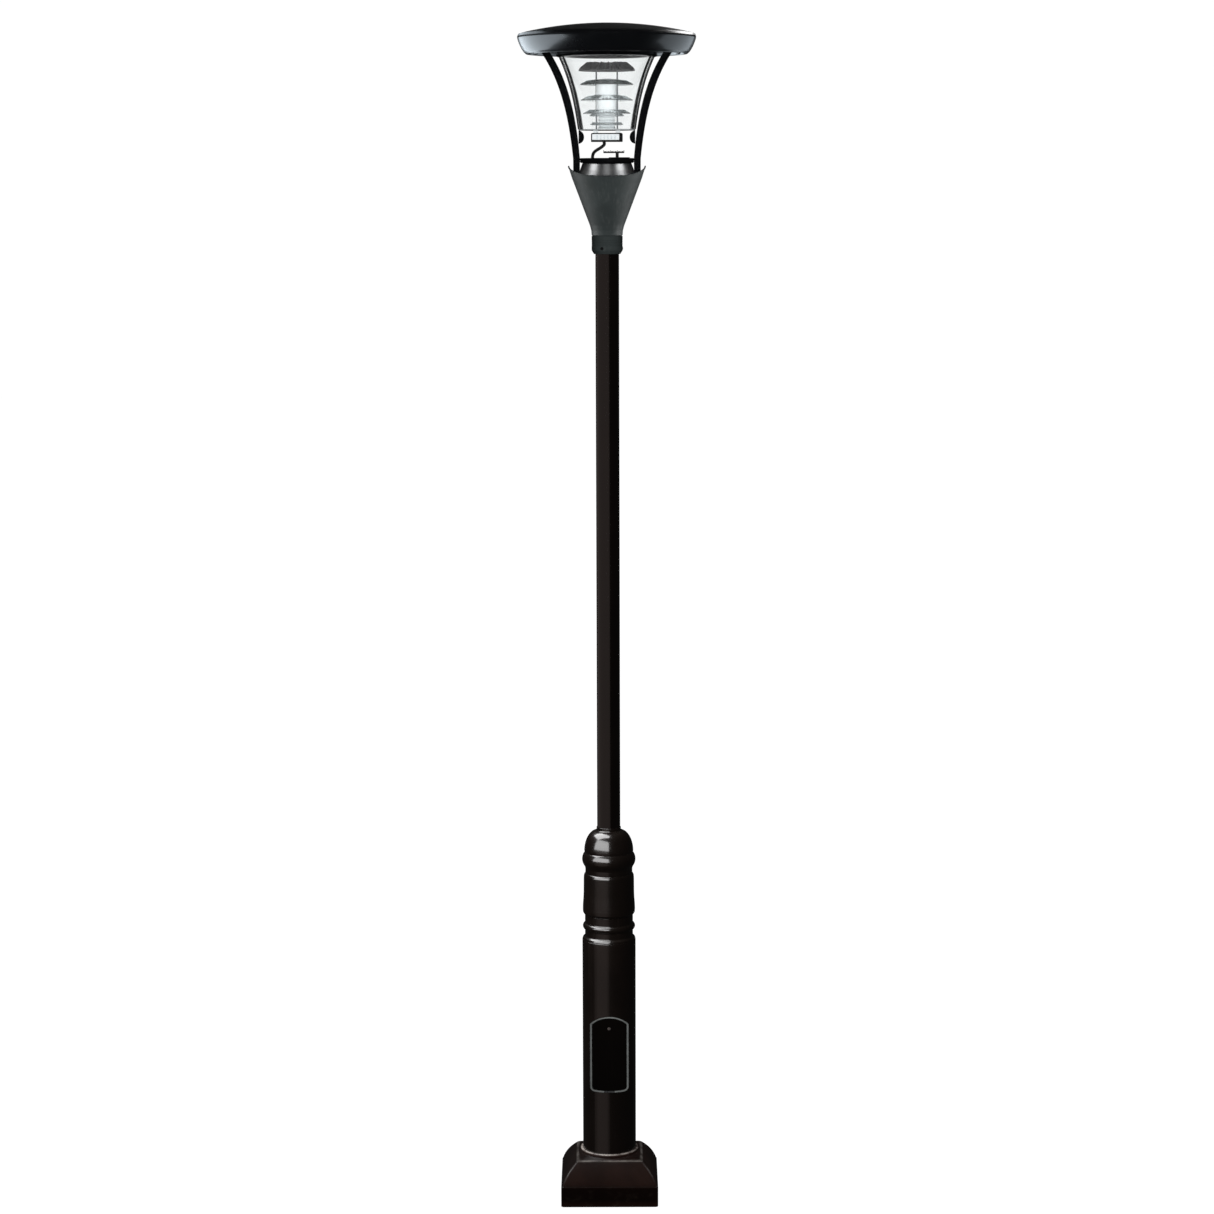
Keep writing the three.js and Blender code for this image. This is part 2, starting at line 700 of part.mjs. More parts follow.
function lamp() {
  const foot = plateTop + holderHeight + GAP;
  const top = foot + lampHeight;
  const profile = [[0, foot], [lampR - 8, foot], [lampR, foot + 14], [lampR, top - 16],
    ...arc(lampR - 16, top - 16, 16, 15, 90, 4), [0, top]];
  return mesh('lamp', turned(profile, COARSE), whitePlastic);
}

const rodAt = (bar, side) => bar.translate(side * rodSpread, 0, 0).rotateZ(THREE.MathUtils.degToRad(rodTurn));

function louvreStack() {
  return louvres.map(([z, outer, rise], i) => {
    const profile = [[louvreBore, z + rise], [outer, z], [outer, z + louvreThick],
      [louvreBore, z + rise + louvreThick]];
    const holes = [-1, 1].map((side) => rodAt(round(rodR + GAP, z - 5, z + rise + 5, 0, 12), side));
    return mesh(`louvre_${i + 1}`, cut(turned(profile, COARSE), ...holes), clearPlastic);
  });
}

function louvreRods() {
  const [topFoot, , topRise] = louvres[louvres.length - 1];
  const top = topFoot + topRise + louvreThick + 2;
  return [['right', 1], ['left', -1]].map(([side, sign]) => (
    mesh(`louvre_rod_${side}`, rodAt(round(rodR, plateTop, top, 0, 12), sign), greyPlastic)
  ));
}

// Both halves of the trumpet cover, parted where the joint strips run.
function covers() {
  const levels = heights(plateTop, coverTop, 7);
  const outer = levels.map((z) => [coverOuter(z) - coverInset, z]);
  const inner = outer.map(([r, z]) => [r - coverWall, z]).reverse();
  const shell = turned([...outer, ...inner], FINE);
  const seam = stripHalf + GAP;
  const wide = 2 * topRingR;
  return [['front', -1], ['rear', 1]].map(([side, sign]) => {
    const far = sign < 0 ? [-wide, -seam] : [seam, wide];
    return mesh(`cover_${side}`, common(shell, block(-wide, wide, ...far, 0, 600)), clearPlastic);
  });
}

function coverStrips() {
  const levels = heights(plateTop, coverTop, 8);
  return [['right', 1], ['left', -1]].map(([side, sign]) => {
    const outer = levels.map((z) => [sign * coverOuter(z), z]);
    const inner = levels.map((z) => [sign * (coverOuter(z) - stripDepth), z]).reverse();
    const strip = plate(outline([...outer, ...inner]), -stripHalf, stripHalf);
    return mesh(`cover_strip_${side}`, strip, blackRubber);
  });
}

function coverTopRing() {
  const foot = coverTop + GAP;
  const top = soffitZ - GAP;
  const bore = coverOuter(coverTop) - 18;
  const profile = [[bore, foot], [topRingR - 2, foot], [topRingR, foot + 3], [topRingR, top], [bore, top]];
  return mesh('cover_top_ring', turned(profile), blackCast);
}

// ---------------------------------------------------------------- cap
const topHinge = { y: topHingeY, z: capTop + GAP + topHingeR };

function capRim() {
  const inside = soffitZ + capWall;
  const band = new THREE.QuadraticBezierCurve(new THREE.Vector2(capLowerR, soffitZ - 3),
    new THREE.Vector2(capR - 5, capBandZ - 24), new THREE.Vector2(capR, capBandZ - 4)).getPoints(3);
  const lip = [[capLipR - 3, soffitZ], [capLipR, soffitZ - 7.5], [capLipR + 19, soffitZ - 7.5]];
  const profile = [[capHoleR, soffitZ], ...lip, ...band.map((p) => [p.x, p.y]), [capR - 0.4, capTop - 3],
    [capR - 3, capTop], [crownR - 4, capTop], [crownR - 4, capTop - 8], [capLowerR - 3, inside + 4],
    [capLowerR - 8, inside], [capHoleR, inside]];
  const lugs = [-1, 1].map((side) => {
    const x0 = side > 0 ? topKnuckleHalf + GAP : -topHingeHalf;
    const x1 = side > 0 ? topHingeHalf : -topKnuckleHalf - GAP;
    const foot = block(x0, x1, topHinge.y - 2.5, topHinge.y + 2.2, capTop - 2, topHinge.z);
    return join(barAlongX(topHingeR, topHinge.y, topHinge.z, x0, x1), foot);
  });
  return mesh('cap_rim', cut(join(turned(profile, CAP_FACETS), ...lugs), topHingeBore()), capPaint);
}

function topHingeBore() {
  const half = topHingeHalf + 2;
  return barAlongX(topPinR + GAP, topHinge.y, topHinge.z, -half, half, 12);
}

function reflector() {
  const foot = soffitZ + capWall + GAP;
  return mesh('reflector', round(reflectorR, foot, foot + 2, 0, FINE), whitePlastic);
}

function topCover() {
  const edge = capTop + GAP;
  const sphereR = (crownR ** 2 + crownRise ** 2) / (2 * crownRise);
  const crown = (r, lift) => Math.sqrt(sphereR ** 2 - r ** 2) - sphereR + edge + crownRise + lift;
  const radii = heights(crownR, 0, 5);
  const under = heights(0, crownR - 8, 2);
  const profile = [[0, crown(0, -crownThick)], ...under.slice(1).map((r) => [r, crown(r, -crownThick)]),
    [crownR - 6, edge - 4], [crownR - 4 - 2 * GAP, edge - 4], [crownR - 4 - 2 * GAP, edge], [crownR, edge],
    ...radii.map((r) => [r, crown(r, crownEdge)])];
  const half = topKnuckleHalf - GAP;
  const knuckle = barAlongX(topHingeR, topHinge.y, topHinge.z, -half, half);
  const tab = block(-half, half, crownR - 6, topHinge.y, edge + 0.2, edge + 3.4);
  return mesh('top_cover', cut(join(turned(profile, CAP_FACETS), knuckle, tab), topHingeBore()), capPaint);
}

function topHingePin() {
  const half = topHingeHalf - 1;
  return mesh('top_hinge_pin', barAlongX(topPinR, topHinge.y, topHinge.z, -half, half, 12), brightSteel);
}

// ---------------------------------------------------------------- the whole lamp
const column = group(0, baseFlange(), ...gussets(), baseCover(), baseCollar(), lowerColumn(), doorSeal(),
  hingeBracket(), hingePin(), mountingBar(), fuseBoxBody(), riserCable(), turnedLowerRing(), turnedBarrel(),
  turnedDome(), ...centringPlates(), upperTube());
const door = group(0, doorLeaf(), doorHinge(), lockBarrel(), lockBolt());
const lantern = group(lanternZ, neckCollar(), ...setScrews(), cup(), cupPlate(), innerRing(), lowerRing(),
  ...arms(), ...armLugs(), carrierPlate(), driverBox(), driverCable(), terminalBlock(), lampHolder(), lamp(),
  ...louvreStack(), ...louvreRods(), ...covers(), ...coverStrips(), coverTopRing(), capRim(), reflector(),
  topCover(), topHingePin());
const lampPost = group(0, column, door, fuseCarrier(), lantern);

export default lampPost;
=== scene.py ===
"""A post-top garden lantern on a decorative lamp column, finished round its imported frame.

Laid out as an add-on: sizes and colours in property groups, one operator for each piece or group of like
pieces, and one panel that lists them. Metres, +Z up; the access door faces -Y, the arms are at +X and -X.
"""

import json
import math

import bmesh
import bpy
from mathutils import Matrix, Vector

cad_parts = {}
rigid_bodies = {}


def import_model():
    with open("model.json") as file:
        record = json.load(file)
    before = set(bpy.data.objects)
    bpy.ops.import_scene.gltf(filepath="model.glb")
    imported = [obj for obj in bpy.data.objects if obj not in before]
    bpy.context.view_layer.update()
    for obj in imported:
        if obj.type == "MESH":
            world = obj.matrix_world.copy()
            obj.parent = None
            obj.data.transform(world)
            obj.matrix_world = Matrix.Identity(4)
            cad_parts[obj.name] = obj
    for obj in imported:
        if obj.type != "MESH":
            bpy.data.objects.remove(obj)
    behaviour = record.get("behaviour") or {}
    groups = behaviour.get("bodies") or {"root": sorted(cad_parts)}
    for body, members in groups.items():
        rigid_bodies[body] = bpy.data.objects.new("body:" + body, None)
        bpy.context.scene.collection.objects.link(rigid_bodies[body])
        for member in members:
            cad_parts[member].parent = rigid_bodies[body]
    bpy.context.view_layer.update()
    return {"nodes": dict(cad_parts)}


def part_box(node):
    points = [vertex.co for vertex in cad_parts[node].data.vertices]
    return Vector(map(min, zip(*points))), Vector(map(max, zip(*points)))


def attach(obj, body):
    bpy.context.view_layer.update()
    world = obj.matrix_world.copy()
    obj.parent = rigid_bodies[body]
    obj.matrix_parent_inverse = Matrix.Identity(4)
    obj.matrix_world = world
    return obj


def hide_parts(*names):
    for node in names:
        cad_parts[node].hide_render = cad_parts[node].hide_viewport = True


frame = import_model()

bl_info = {
    "name": "Garden Lamp Post",
    "version": (1, 0, 0),
    "blender": (4, 5, 0),
    "location": "3D View > Sidebar > Lamp Post",
    "description": "Builds a post-top garden lantern on its turned column",
    "category": "Add Mesh",
}

MM = 0.001
TAU = 2 * math.pi
GAP = 0.3 * MM  # left between pieces that touch
SIDES = (("right", 1), ("left", -1))


# ---------------------------------------------------------------- where the frame puts things
BOXES = {node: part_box(node) for node in frame["nodes"]}


def low(node):
    return BOXES[node][0].copy()


def high(node):
    return BOXES[node][1].copy()


def heights(node):
    """Heights of the node's foot and its top."""
    return low(node).z, high(node).z


COLUMN_R = high("turned_dome").x
POLE_R = high("upper_tube").x
WALL = 5 * MM
DOOR_LOW, DOOR_HIGH = low("door_seal"), high("door_seal")
CUP_R = high("cup").x
CAP_R = high("cap_rim").x
SOFFIT = high("cover_top_ring").z + GAP
CAP_TOP = high("top_cover").z
TOP_HINGE = (low("top_hinge_pin") + high("top_hinge_pin")) / 2
LOCK = (low("lock_barrel") + high("lock_barrel")) / 2


# ---------------------------------------------------------------- sizes and colours
def length(name, description, default):
    return bpy.props.FloatProperty(name=name, description=description, default=default, min=0.0,
                                   subtype="DISTANCE", unit="LENGTH")


def colour(name, description, default):
    return bpy.props.FloatVectorProperty(name=name, description=description, default=default, size=3,
                                         min=0.0, max=1.0, subtype="COLOR")


class LampSizes(bpy.types.PropertyGroup):
    """Sizes of the fine shapes that the frame leaves open."""

    edge: length("Edge", "How far the edges of plain parts are eased", 0.8 * MM)
    hip: length("Hip radius", "Radius of the base's upright corners", 7 * MM)
    seal_proud: length("Seal proud", "How far the door seal stands out of the column", 0.7 * MM)
    rib: length("Neck rib", "Pitch of the ribs round the lantern's neck", 4.2 * MM)
    arm_width: length("Arm width", "Width of an arm, seen from the side", 14 * MM)
    glass: length("Cover wall", "Wall of the clear cover", 2.6 * MM)


class LampColours(bpy.types.PropertyGroup):
    """Colours of the finishes, linear."""

    gloss: colour("Gloss paint", "Gloss paint on the tubes and castings", (0.0020, 0.0013, 0.0010))
    cast: colour("Cast paint", "Satin paint on the base", (0.0100, 0.0042, 0.0030))
    lantern: colour("Lantern paint", "Fine-textured coat on the cup", (0.034, 0.041, 0.041))
    cap: colour("Cap paint", "Satin coat on the cap and arms", (0.0030, 0.0032, 0.0038))
    seal: colour("Seal", "Door seal rubber", (0.20, 0.21, 0.205))


# ---------------------------------------------------------------- shader arithmetic
class Wire:
    """A shader socket that takes part in Python arithmetic; each sum adds its Math node."""

    def __init__(self, finish, socket):
        self.finish, self.socket = finish, socket

    def _with(self, operation, first, second):
        node = self.finish.node("ShaderNodeMath", {"operation": operation}, {0: first, 1: second})
        return Wire(self.finish, node.outputs[0])

    def __add__(self, other):
        return self._with("ADD", self, other)

    def __sub__(self, other):
        return self._with("SUBTRACT", self, other)

    def __rsub__(self, other):
        return self._with("SUBTRACT", other, self)

    def __mul__(self, other):
        return self._with("MULTIPLY", self, other)

    def __lt__(self, other):
        return self._with("LESS_THAN", self, other)

    __radd__ = __add__
    __rmul__ = __mul__

    def step(self, start, end):
        """0 below start and 1 above end, smoothly; start may be the larger."""
        node = self.finish.node("ShaderNodeMapRange", {"interpolation_type": "SMOOTHSTEP"},
                                {"Value": self, "From Min": start, "From Max": end})
        return Wire(self.finish, node.outputs[0])


class Finish:
    """A node tree under construction: one way to add any node, and the few patterns the finishes share."""

    def __init__(self, tree):
        self.tree = tree
        tree.nodes.clear()

    def node(self, kind, settings=None, inputs=None):
        made = self.tree.nodes.new(kind)
        for key, value in (settings or {}).items():
            setattr(made, key, value)
        for key, value in (inputs or {}).items():
            self.plug(made.inputs[key], value)
        return made

    def plug(self, socket, value):
        if isinstance(value, Wire):
            self.tree.links.new(value.socket, socket)
        elif hasattr(value, "__len__") and len(value) == 3 and socket.type == "RGBA":
            socket.default_value = (*value, 1.0)
        else:
            socket.default_value = value

    def wire(self, kind, settings=None, inputs=None, output=0):
        return Wire(self, self.node(kind, settings, inputs).outputs[output])

    def place(self, scale=(1, 1, 1)):
        """Position on the piece, in metres, stretched by scale."""
        spot = self.wire("ShaderNodeTexCoord", output="Object")
        return self.wire("ShaderNodeVectorMath", {"operation": "MULTIPLY"}, {0: spot, 1: scale})

    def axes(self):
        node = self.node("ShaderNodeSeparateXYZ", inputs={0: self.place()})
        return [Wire(self, out) for out in node.outputs]

    def noise(self, scale, detail=3.0, rough=0.5, stretch=(1, 1, 1)):
        return self.wire("ShaderNodeTexNoise", inputs={
            "Vector": self.place(stretch), "Scale": scale, "Detail": detail, "Roughness": rough})

    def cells(self, scale, output=0):
        return self.wire("ShaderNodeTexVoronoi", {"feature": "F1"},
                         {"Vector": self.place(), "Scale": scale}, output)

    def facing_up(self):
        normal = self.node("ShaderNodeNewGeometry").outputs["Normal"]
        split = self.node("ShaderNodeSeparateXYZ", inputs={0: Wire(self, normal)})
        return Wire(self, split.outputs[2])

    def mix(self, first, second, share):
        return self.wire("ShaderNodeMix", {"data_type": "RGBA"}, {0: share, 6: first, 7: second}, 2)

    def bump(self, height, depth, strength):
        return self.wire("ShaderNodeBump", inputs={"Strength": strength, "Distance": depth, "Height": height})


def finished(name, paint):
    """A material named once and reused; paint(finish) returns the shader's socket values."""
    if name in bpy.data.materials:
        return bpy.data.materials[name]
    material = bpy.data.materials.new(name)
    material.use_nodes = True
    finish = Finish(material.node_tree)
    shader = finish.node("ShaderNodeBsdfPrincipled", inputs=paint(finish))
    output = finish.node("ShaderNodeOutputMaterial")
    finish.tree.links.new(shader.outputs[0], output.inputs[0])
    return material


def shade(colour_value, factor):
    return tuple(min(1.0, c * factor) for c in colour_value)


# ---------------------------------------------------------------- finishes
EDGE_HIGHLIGHT_LEVELS = ((0.1092, 0.1106, 0.1122, 0.1134), (0.1222, 0.1232, 0.1252, 0.1262))  # heights of the painted highlight lines: the base's shoulder, then a rim higher up
FROST_TINT = (0.90, 0.95, 0.97)  # tint of the frosted cases


def gloss_paint(colours):
    """Brown-black gloss paint with orange peel, faint runs of dust and a little dust on ledges."""
    def paint(f):
        peel = f.noise(420, 2.0, 0.45)
        cloud = f.noise(5, 4.0, 0.6)
        streak = f.noise(1.0, 4.0, 0.62, (70, 70, 2.2)).step(0.55, 0.80)
        speck = f.noise(900, 1.0).step(0.70, 0.78)
        dust = f.facing_up().step(0.35, 1.0) * cloud.step(0.35, 0.7) * 0.05 + streak * 0.035 + speck * 0.02
        base = f.mix(colours.gloss, shade(colours.gloss, 1.7), cloud.step(0.35, 0.75))
        return {"Base Color": f.mix(base, (0.07, 0.055, 0.045), dust),
                "Roughness": 0.17 + cloud * 0.08 + dust * 1.4, "Metallic": 0.0, "Specular IOR Level": 0.5,
                "Coat Weight": 0.6, "Coat Roughness": 0.07,
                "Normal": f.bump(peel + cloud * 0.3, 0.12 * MM, 0.35)}
    return finished("gloss_black_paint", paint)


def cast_paint(colours):
    """Satin paint over sand-cast metal: a pebbled skin, scuffs, splash marks near the ground, painted
    highlight lines along the shoulder and rim, and painted shade on the plinth.
    """
    def paint(f):
        _, _, z = f.axes()
        grain = f.noise(330, 5.0, 0.65)
        pits = f.cells(260).step(0.0, 0.22)
        cloud = f.noise(9, 5.0, 0.62)
        splash = z.step(0.085, 0.0) * f.noise(60, 4.0, 0.7).step(0.52, 0.70)
        scuff = f.noise(34, 6.0, 0.7).step(0.66, 0.76) * 0.30
        base = f.mix(colours.cast, shade(colours.cast, 1.9), cloud.step(0.35, 0.75))
        # Painted shade: the plinth, from about 4 mm to 62 mm up, is darkened to about a third of the paint's
        # colour.
        plinth = z.step(0.062, 0.048) * z.step(0.004, 0.020)
        base = f.mix(base, shade(colours.cast, 0.25), plinth * 0.85)
        # Painted highlight: lighter lines, broken into patches, along the base's shoulder and its rim, where
        # the edges would catch the light.
        shoulder, rim = (z.step(a, b) * z.step(d, c) for a, b, c, d in EDGE_HIGHLIGHT_LEVELS)
        painted_edge_highlight = (shoulder + rim) * f.noise(26, 4.0, 0.7).step(0.30, 0.62) * 0.8
        base = f.mix(base, (0.20, 0.18, 0.165), painted_edge_highlight)
        dirt_and_painted_light = f.mix(base, (0.045, 0.036, 0.028), splash * 0.30 + scuff * 0.15)
        return {"Base Color": dirt_and_painted_light, "Roughness": 0.40 + grain * 0.16 + splash * 0.22, "Metallic": 0.0,
                "Specular IOR Level": 0.5, "Coat Weight": 0.15, "Coat Roughness": 0.25,
                "Normal": f.bump(grain * 0.8 + pits * 0.35, 0.30 * MM, 0.5)}
    return finished("cast_black_paint", paint)


def powder_coat(f, colours):
    """Colour, roughness and normal of a fine-textured powder coat with faint weathering."""
    grain = f.cells(900)
    fine = f.noise(1500, 2.0, 0.6)
    cloud = f.noise(12, 5.0, 0.6)
    run = f.noise(1.0, 3.0, 0.6, (110, 110, 6)).step(0.50, 0.78)
    base = f.mix(colours.lantern, shade(colours.lantern, 1.35), cloud.step(0.3, 0.75))
    weathered = f.mix(base, (0.16, 0.17, 0.165), run * 0.16 + fine.step(0.62, 0.75) * 0.10)
    return weathered, 0.46 + cloud * 0.14, f.bump(grain + fine * 0.6, 0.16 * MM, 0.45)


def lantern_paint(colours):
    """Charcoal powder coat."""
    def paint(f):
        coat, rough, normal = powder_coat(f, colours)
        return {"Base Color": coat, "Roughness": rough, "Metallic": 0.0, "Specular IOR Level": 0.5,
                "Normal": normal}
    return finished("charcoal_powder_coat", paint)


def cup_finish(colours):
    """The lantern's powder coat outside; bare spun aluminium inside, where light bounces."""
    def paint(f):
        coat, rough, normal = powder_coat(f, colours)
        own = Wire(f, f.node("ShaderNodeTexCoord").outputs["Normal"])
        out = f.wire("ShaderNodeVectorMath", {"operation": "DOT_PRODUCT"}, {0: own, 1: f.place((1, 1, 0))}, 1)
        bare = out < -0.0005
        return {"Base Color": f.mix(coat, (0.80, 0.81, 0.82), bare), "Metallic": bare * 0.9,
                "Roughness": rough * (1 - bare) + bare * 0.28, "Specular IOR Level": 0.5, "Normal": normal}
    return finished("cup_powder_coat", paint)


def cap_paint(colours):
    """Satin black coat, smoother than the cup's, with a blue cast and settled dust on top."""
    def paint(f):
        peel = f.noise(600, 2.0, 0.5)
        cloud = f.noise(7, 5.0, 0.62)
        spots = f.cells(60).step(0.16, 0.05) * f.noise(16, 2.0).step(0.5, 0.65)
        dust = f.facing_up().step(0.5, 1.0) * (cloud.step(0.3, 0.75) * 0.08 + spots * 0.10)
        base = f.mix(colours.cap, shade(colours.cap, 1.8), cloud.step(0.35, 0.8))
        return {"Base Color": f.mix(base, (0.10, 0.10, 0.095), dust),
                "Roughness": 0.24 + cloud * 0.10 + dust * 0.9, "Metallic": 0.0, "Specular IOR Level": 0.5,
                "Coat Weight": 0.35, "Coat Roughness": 0.14,
                "Normal": f.bump(peel, 0.10 * MM, 0.35)}
    return finished("cap_black_coat", paint)


def galvanised():
    """Hot-dip zinc with its spangle and a few white bloom marks."""
    def paint(f):
        spangle = f.cells(95, 1)
        grey = f.wire("ShaderNodeRGBToBW", inputs={0: spangle})
        bloom = f.noise(40, 5.0, 0.65).step(0.60, 0.75)
        base = f.mix((0.36, 0.37, 0.38), (0.56, 0.57, 0.58), grey)
        return {"Base Color": f.mix(base, (0.62, 0.62, 0.60), bloom * 0.5), "Metallic": 0.9,
                "Roughness": 0.36 + grey * 0.14 + bloom * 0.2,
                "Normal": f.bump(f.noise(300, 4.0), 0.15 * MM, 0.4)}
    return finished("galvanised_zinc", paint)


def bright_steel():
    """Turned stainless steel with fine tool marks."""
    def paint(f):
        marks = f.noise(1.0, 3.0, 0.6, (900, 900, 900))
        return {"Base Color": f.mix((0.62, 0.62, 0.63), (0.76, 0.76, 0.77), marks), "Metallic": 1.0,
                "Roughness": 0.18 + marks * 0.12, "Normal": f.bump(marks, 0.03 * MM, 0.4)}
    return finished("stainless_steel", paint)


def spun_aluminium():
    """Polished aluminium with the rings that spinning leaves."""
    def paint(f):
        rings = f.noise(1.0, 2.0, 0.5, (3, 3, 2600))
        smear = f.noise(30, 3.0)
        return {"Base Color": f.mix((0.80, 0.81, 0.82), (0.90, 0.91, 0.92), smear), "Metallic": 1.0,
                "Roughness": 0.24 + rings * 0.14 + smear.step(0.5, 0.8) * 0.10,
                "Normal": f.bump(rings, 0.02 * MM, 0.4)}
    return finished("spun_aluminium", paint)


def rubber(name, base, rough=0.72):
    """Moulded rubber: matte, with a fine skin and a dusty bloom."""
    def paint(f):
        cloud = f.noise(45, 4.0, 0.6)
        skin = f.noise(1400, 2.0)
        bloom = tuple(min(1.0, c * 1.3 + 0.01) for c in base)
        return {"Base Color": f.mix(base, bloom, cloud.step(0.35, 0.7)),
                "Roughness": rough + cloud * 0.12, "Normal": f.bump(skin, 0.06 * MM, 0.5)}
    return finished(name, paint)


def plastic(name, base, rough=0.42):
    """Moulded plastic with a spark-eroded skin and light handling marks."""
    def paint(f):
        skin = f.cells(1500)
        marks = f.noise(55, 6.0, 0.7).step(0.58, 0.72)
        darker = shade(base, 0.80)
        return {"Base Color": f.mix(base, darker, marks * 0.6), "Roughness": rough + marks * 0.15,
                "Normal": f.bump(skin, 0.05 * MM, 0.4)}
    return finished(name, paint)


def opal():
    """Frosted opal diffuser with a faint glow."""
    def paint(f):
        cloud = f.noise(80, 2.0)
        return {"Base Color": f.mix((0.80, 0.84, 0.86), (0.88, 0.90, 0.90), cloud),
                "Roughness": 0.30 + cloud * 0.1, "Subsurface Weight": 0.25,
                "Subsurface Radius": (0.01, 0.01, 0.01), "Emission Color": (0.93, 0.97, 1.0),
                "Emission Strength": 0.05,
                "Normal": f.bump(cloud, 0.02 * MM, 0.3)}
    return finished("opal_diffuser", paint)


def clear(name, tint, rough, ripple, depth):
    """Clear acrylic, faintly tinted, with moulding ripple and a little dust."""
    def paint(f):
        wave = f.noise(ripple, 2.0, 0.5)
        dust = f.noise(240, 4.0, 0.7).step(0.60, 0.80)
        return {"Base Color": f.mix(tint, shade(tint, 0.93), dust), "Roughness": rough + dust * 0.10,
                "IOR": 1.49, "Transmission Weight": 1.0, "Normal": f.bump(wave, depth, 0.4)}
    return finished(name, paint)


def enamel():
    """Gloss white enamel."""
    def paint(f):
        cloud = f.noise(20, 3.0)
        return {"Base Color": f.mix((0.80, 0.81, 0.81), (0.86, 0.87, 0.87), cloud),
                "Roughness": 0.22 + cloud * 0.1, "Normal": f.bump(f.noise(500, 2.0), 0.05 * MM, 0.3)}
    return finished("white_enamel", paint)


def black_moulding():
    return plastic("black_moulding", (0.014, 0.014, 0.015))


def grey_moulding():
    return plastic("grey_moulding", (0.16, 0.17, 0.18))


def black_cable():
    return rubber("black_cable", (0.012, 0.012, 0.012), 0.5)


def frosted_case():
    return clear("frosted_case", FROST_TINT, 0.32, 60, 0.2 * MM)


# ---------------------------------------------------------------- outlines
def spun(radius, turn, z):
    """A point at a radius from the axis, turned from +X."""
    return radius * math.cos(turn), radius * math.sin(turn), z


def eased(points, radius=0.0, steps=4, closed=True):
    """The outline with each corner drawn as a short curve; a point's third number is its own radius."""
    spots = [Vector(p[:2]) for p in points]
    made = []
    for i, here in enumerate(spots):
        own = points[i][2] if len(points[i]) > 2 else radius
        if not closed and i in (0, len(spots) - 1) or own <= 0:
            made.append(here)
            continue
        back, ahead = spots[i - 1] - here, spots[(i + 1) % len(spots)] - here
        if back.length < 1e-9 or ahead.length < 1e-9:
            made.append(here)
            continue
        opening = back.angle(ahead, math.pi)
        if opening > math.radians(176):
            made.append(here)
            continue
        reach = min(own / math.tan(opening / 2), 0.48 * back.length, 0.48 * ahead.length)
        start, end = here + back.normalized() * reach, here + ahead.normalized() * reach
        for k in range(steps + 1):
            t = k / steps
            made.append(start * (1 - t) ** 2 + here * (2 * t * (1 - t)) + end * t ** 2)
    return [(p.x, p.y) for p in made]


def bent(start, control, end, steps=12):
    """Points along a quadratic curve, its start left out."""
    return [tuple(s * (1 - t) ** 2 + c * 2 * t * (1 - t) + e * t ** 2 for s, c, e in zip(start, control, end))
            for t in ((k + 1) / steps for k in range(steps))]


# ---------------------------------------------------------------- mesh making
def mark_hard(bm, sharp):
    """Smooth faces, with edges left hard where the surface turns by more than sharp degrees."""
    limit = math.radians(sharp)
    for face in bm.faces:
        face.smooth = True
    for edge in bm.edges:
        edge.smooth = len(edge.link_faces) == 2 and edge.calc_face_angle(0.0) < limit


def placed(name, bm):
    """A new object in the scene that holds bm."""
    mesh = bpy.data.meshes.new(name)
    bm.to_mesh(mesh)
    bm.free()
    made = bpy.data.objects.new(name, mesh)
    bpy.context.scene.collection.objects.link(made)
    return made


def to_object(name, bm, sharp=32):
    """A mesh object from bm, its corners joined and its faces turned outward."""
    bmesh.ops.remove_doubles(bm, verts=bm.verts, dist=1e-7)
    bmesh.ops.recalc_face_normals(bm, faces=bm.faces)
    mark_hard(bm, sharp)
    return placed(name, bm)


def skin(bm, loops, ring=True, loop=False):
    """Faces between neighbouring rows; ring joins a row's ends, loop joins the last row to the first."""
    rows = [[bm.verts.new(p) for p in row] for row in loops]
    count = len(rows[0])
    pairs = list(zip(rows, rows[1:])) + ([(rows[-1], rows[0])] if loop else [])
    for first, second in pairs:
        for i in range(count if ring else count - 1):
            j = (i + 1) % count
            bm.faces.new((first[i], first[j], second[j], second[i]))
    return rows


def lofted(name, loops, sharp=32):
    """A closed body through cross-sections, with flat ends."""
    bm = bmesh.new()
    rows = skin(bm, loops)
    bm.faces.new(list(reversed(rows[0])))
    bm.faces.new(rows[-1])
    return to_object(name, bm, sharp)


def turned(name, profile, steps=160, sharp=32):
    """A turned body about Z from a closed profile of (radius, height)."""
    bm = bmesh.new()
    loops = []
    for i in range(steps):
        angle = TAU * i / steps
        loops.append([spun(r, angle, z) for r, z in profile])
    skin(bm, loops, ring=True, loop=True)
    bmesh.ops.dissolve_degenerate(bm, dist=1e-7, edges=bm.edges)
    return to_object(name, bm, sharp)


def block(name, corner, other, edge):
    """A box between two corners with eased edges."""
    bm = bmesh.new()
    bmesh.ops.create_cube(bm, size=1)
    size = Vector(other) - Vector(corner)
    bm.transform(Matrix.Translation((Vector(corner) + Vector(other)) / 2) @ Matrix.Diagonal((*size, 1)))
    if edge > 0:
        bmesh.ops.bevel(bm, geom=bm.edges[:], offset=min(edge, min(size) * 0.45), segments=3,
                        affect="EDGES", profile=0.5)
    return to_object(name, bm)


def bar(name, start, end, radius, edge=0.3 * MM, sides=48):
    """A round bar between two points, its ends eased."""
    a, b = Vector(start), Vector(end)
    span = (b - a).length
    edge = min(edge, radius * 0.4, span * 0.4)
    profile = eased([(0, 0), (radius, 0, edge), (radius, span, edge), (0, span)], closed=False)
    made = turned(name, profile, sides)
    made.data.transform(Matrix.Translation(a) @ (b - a).to_track_quat("Z", "Y").to_matrix().to_4x4())
    return made


def prism(name, outline, y0, y1):
    """An outline of (x, z) given a thickness from y0 to y1."""
    return lofted(name, [[(x, y, z) for x, z in outline] for y in (y0, y1)])


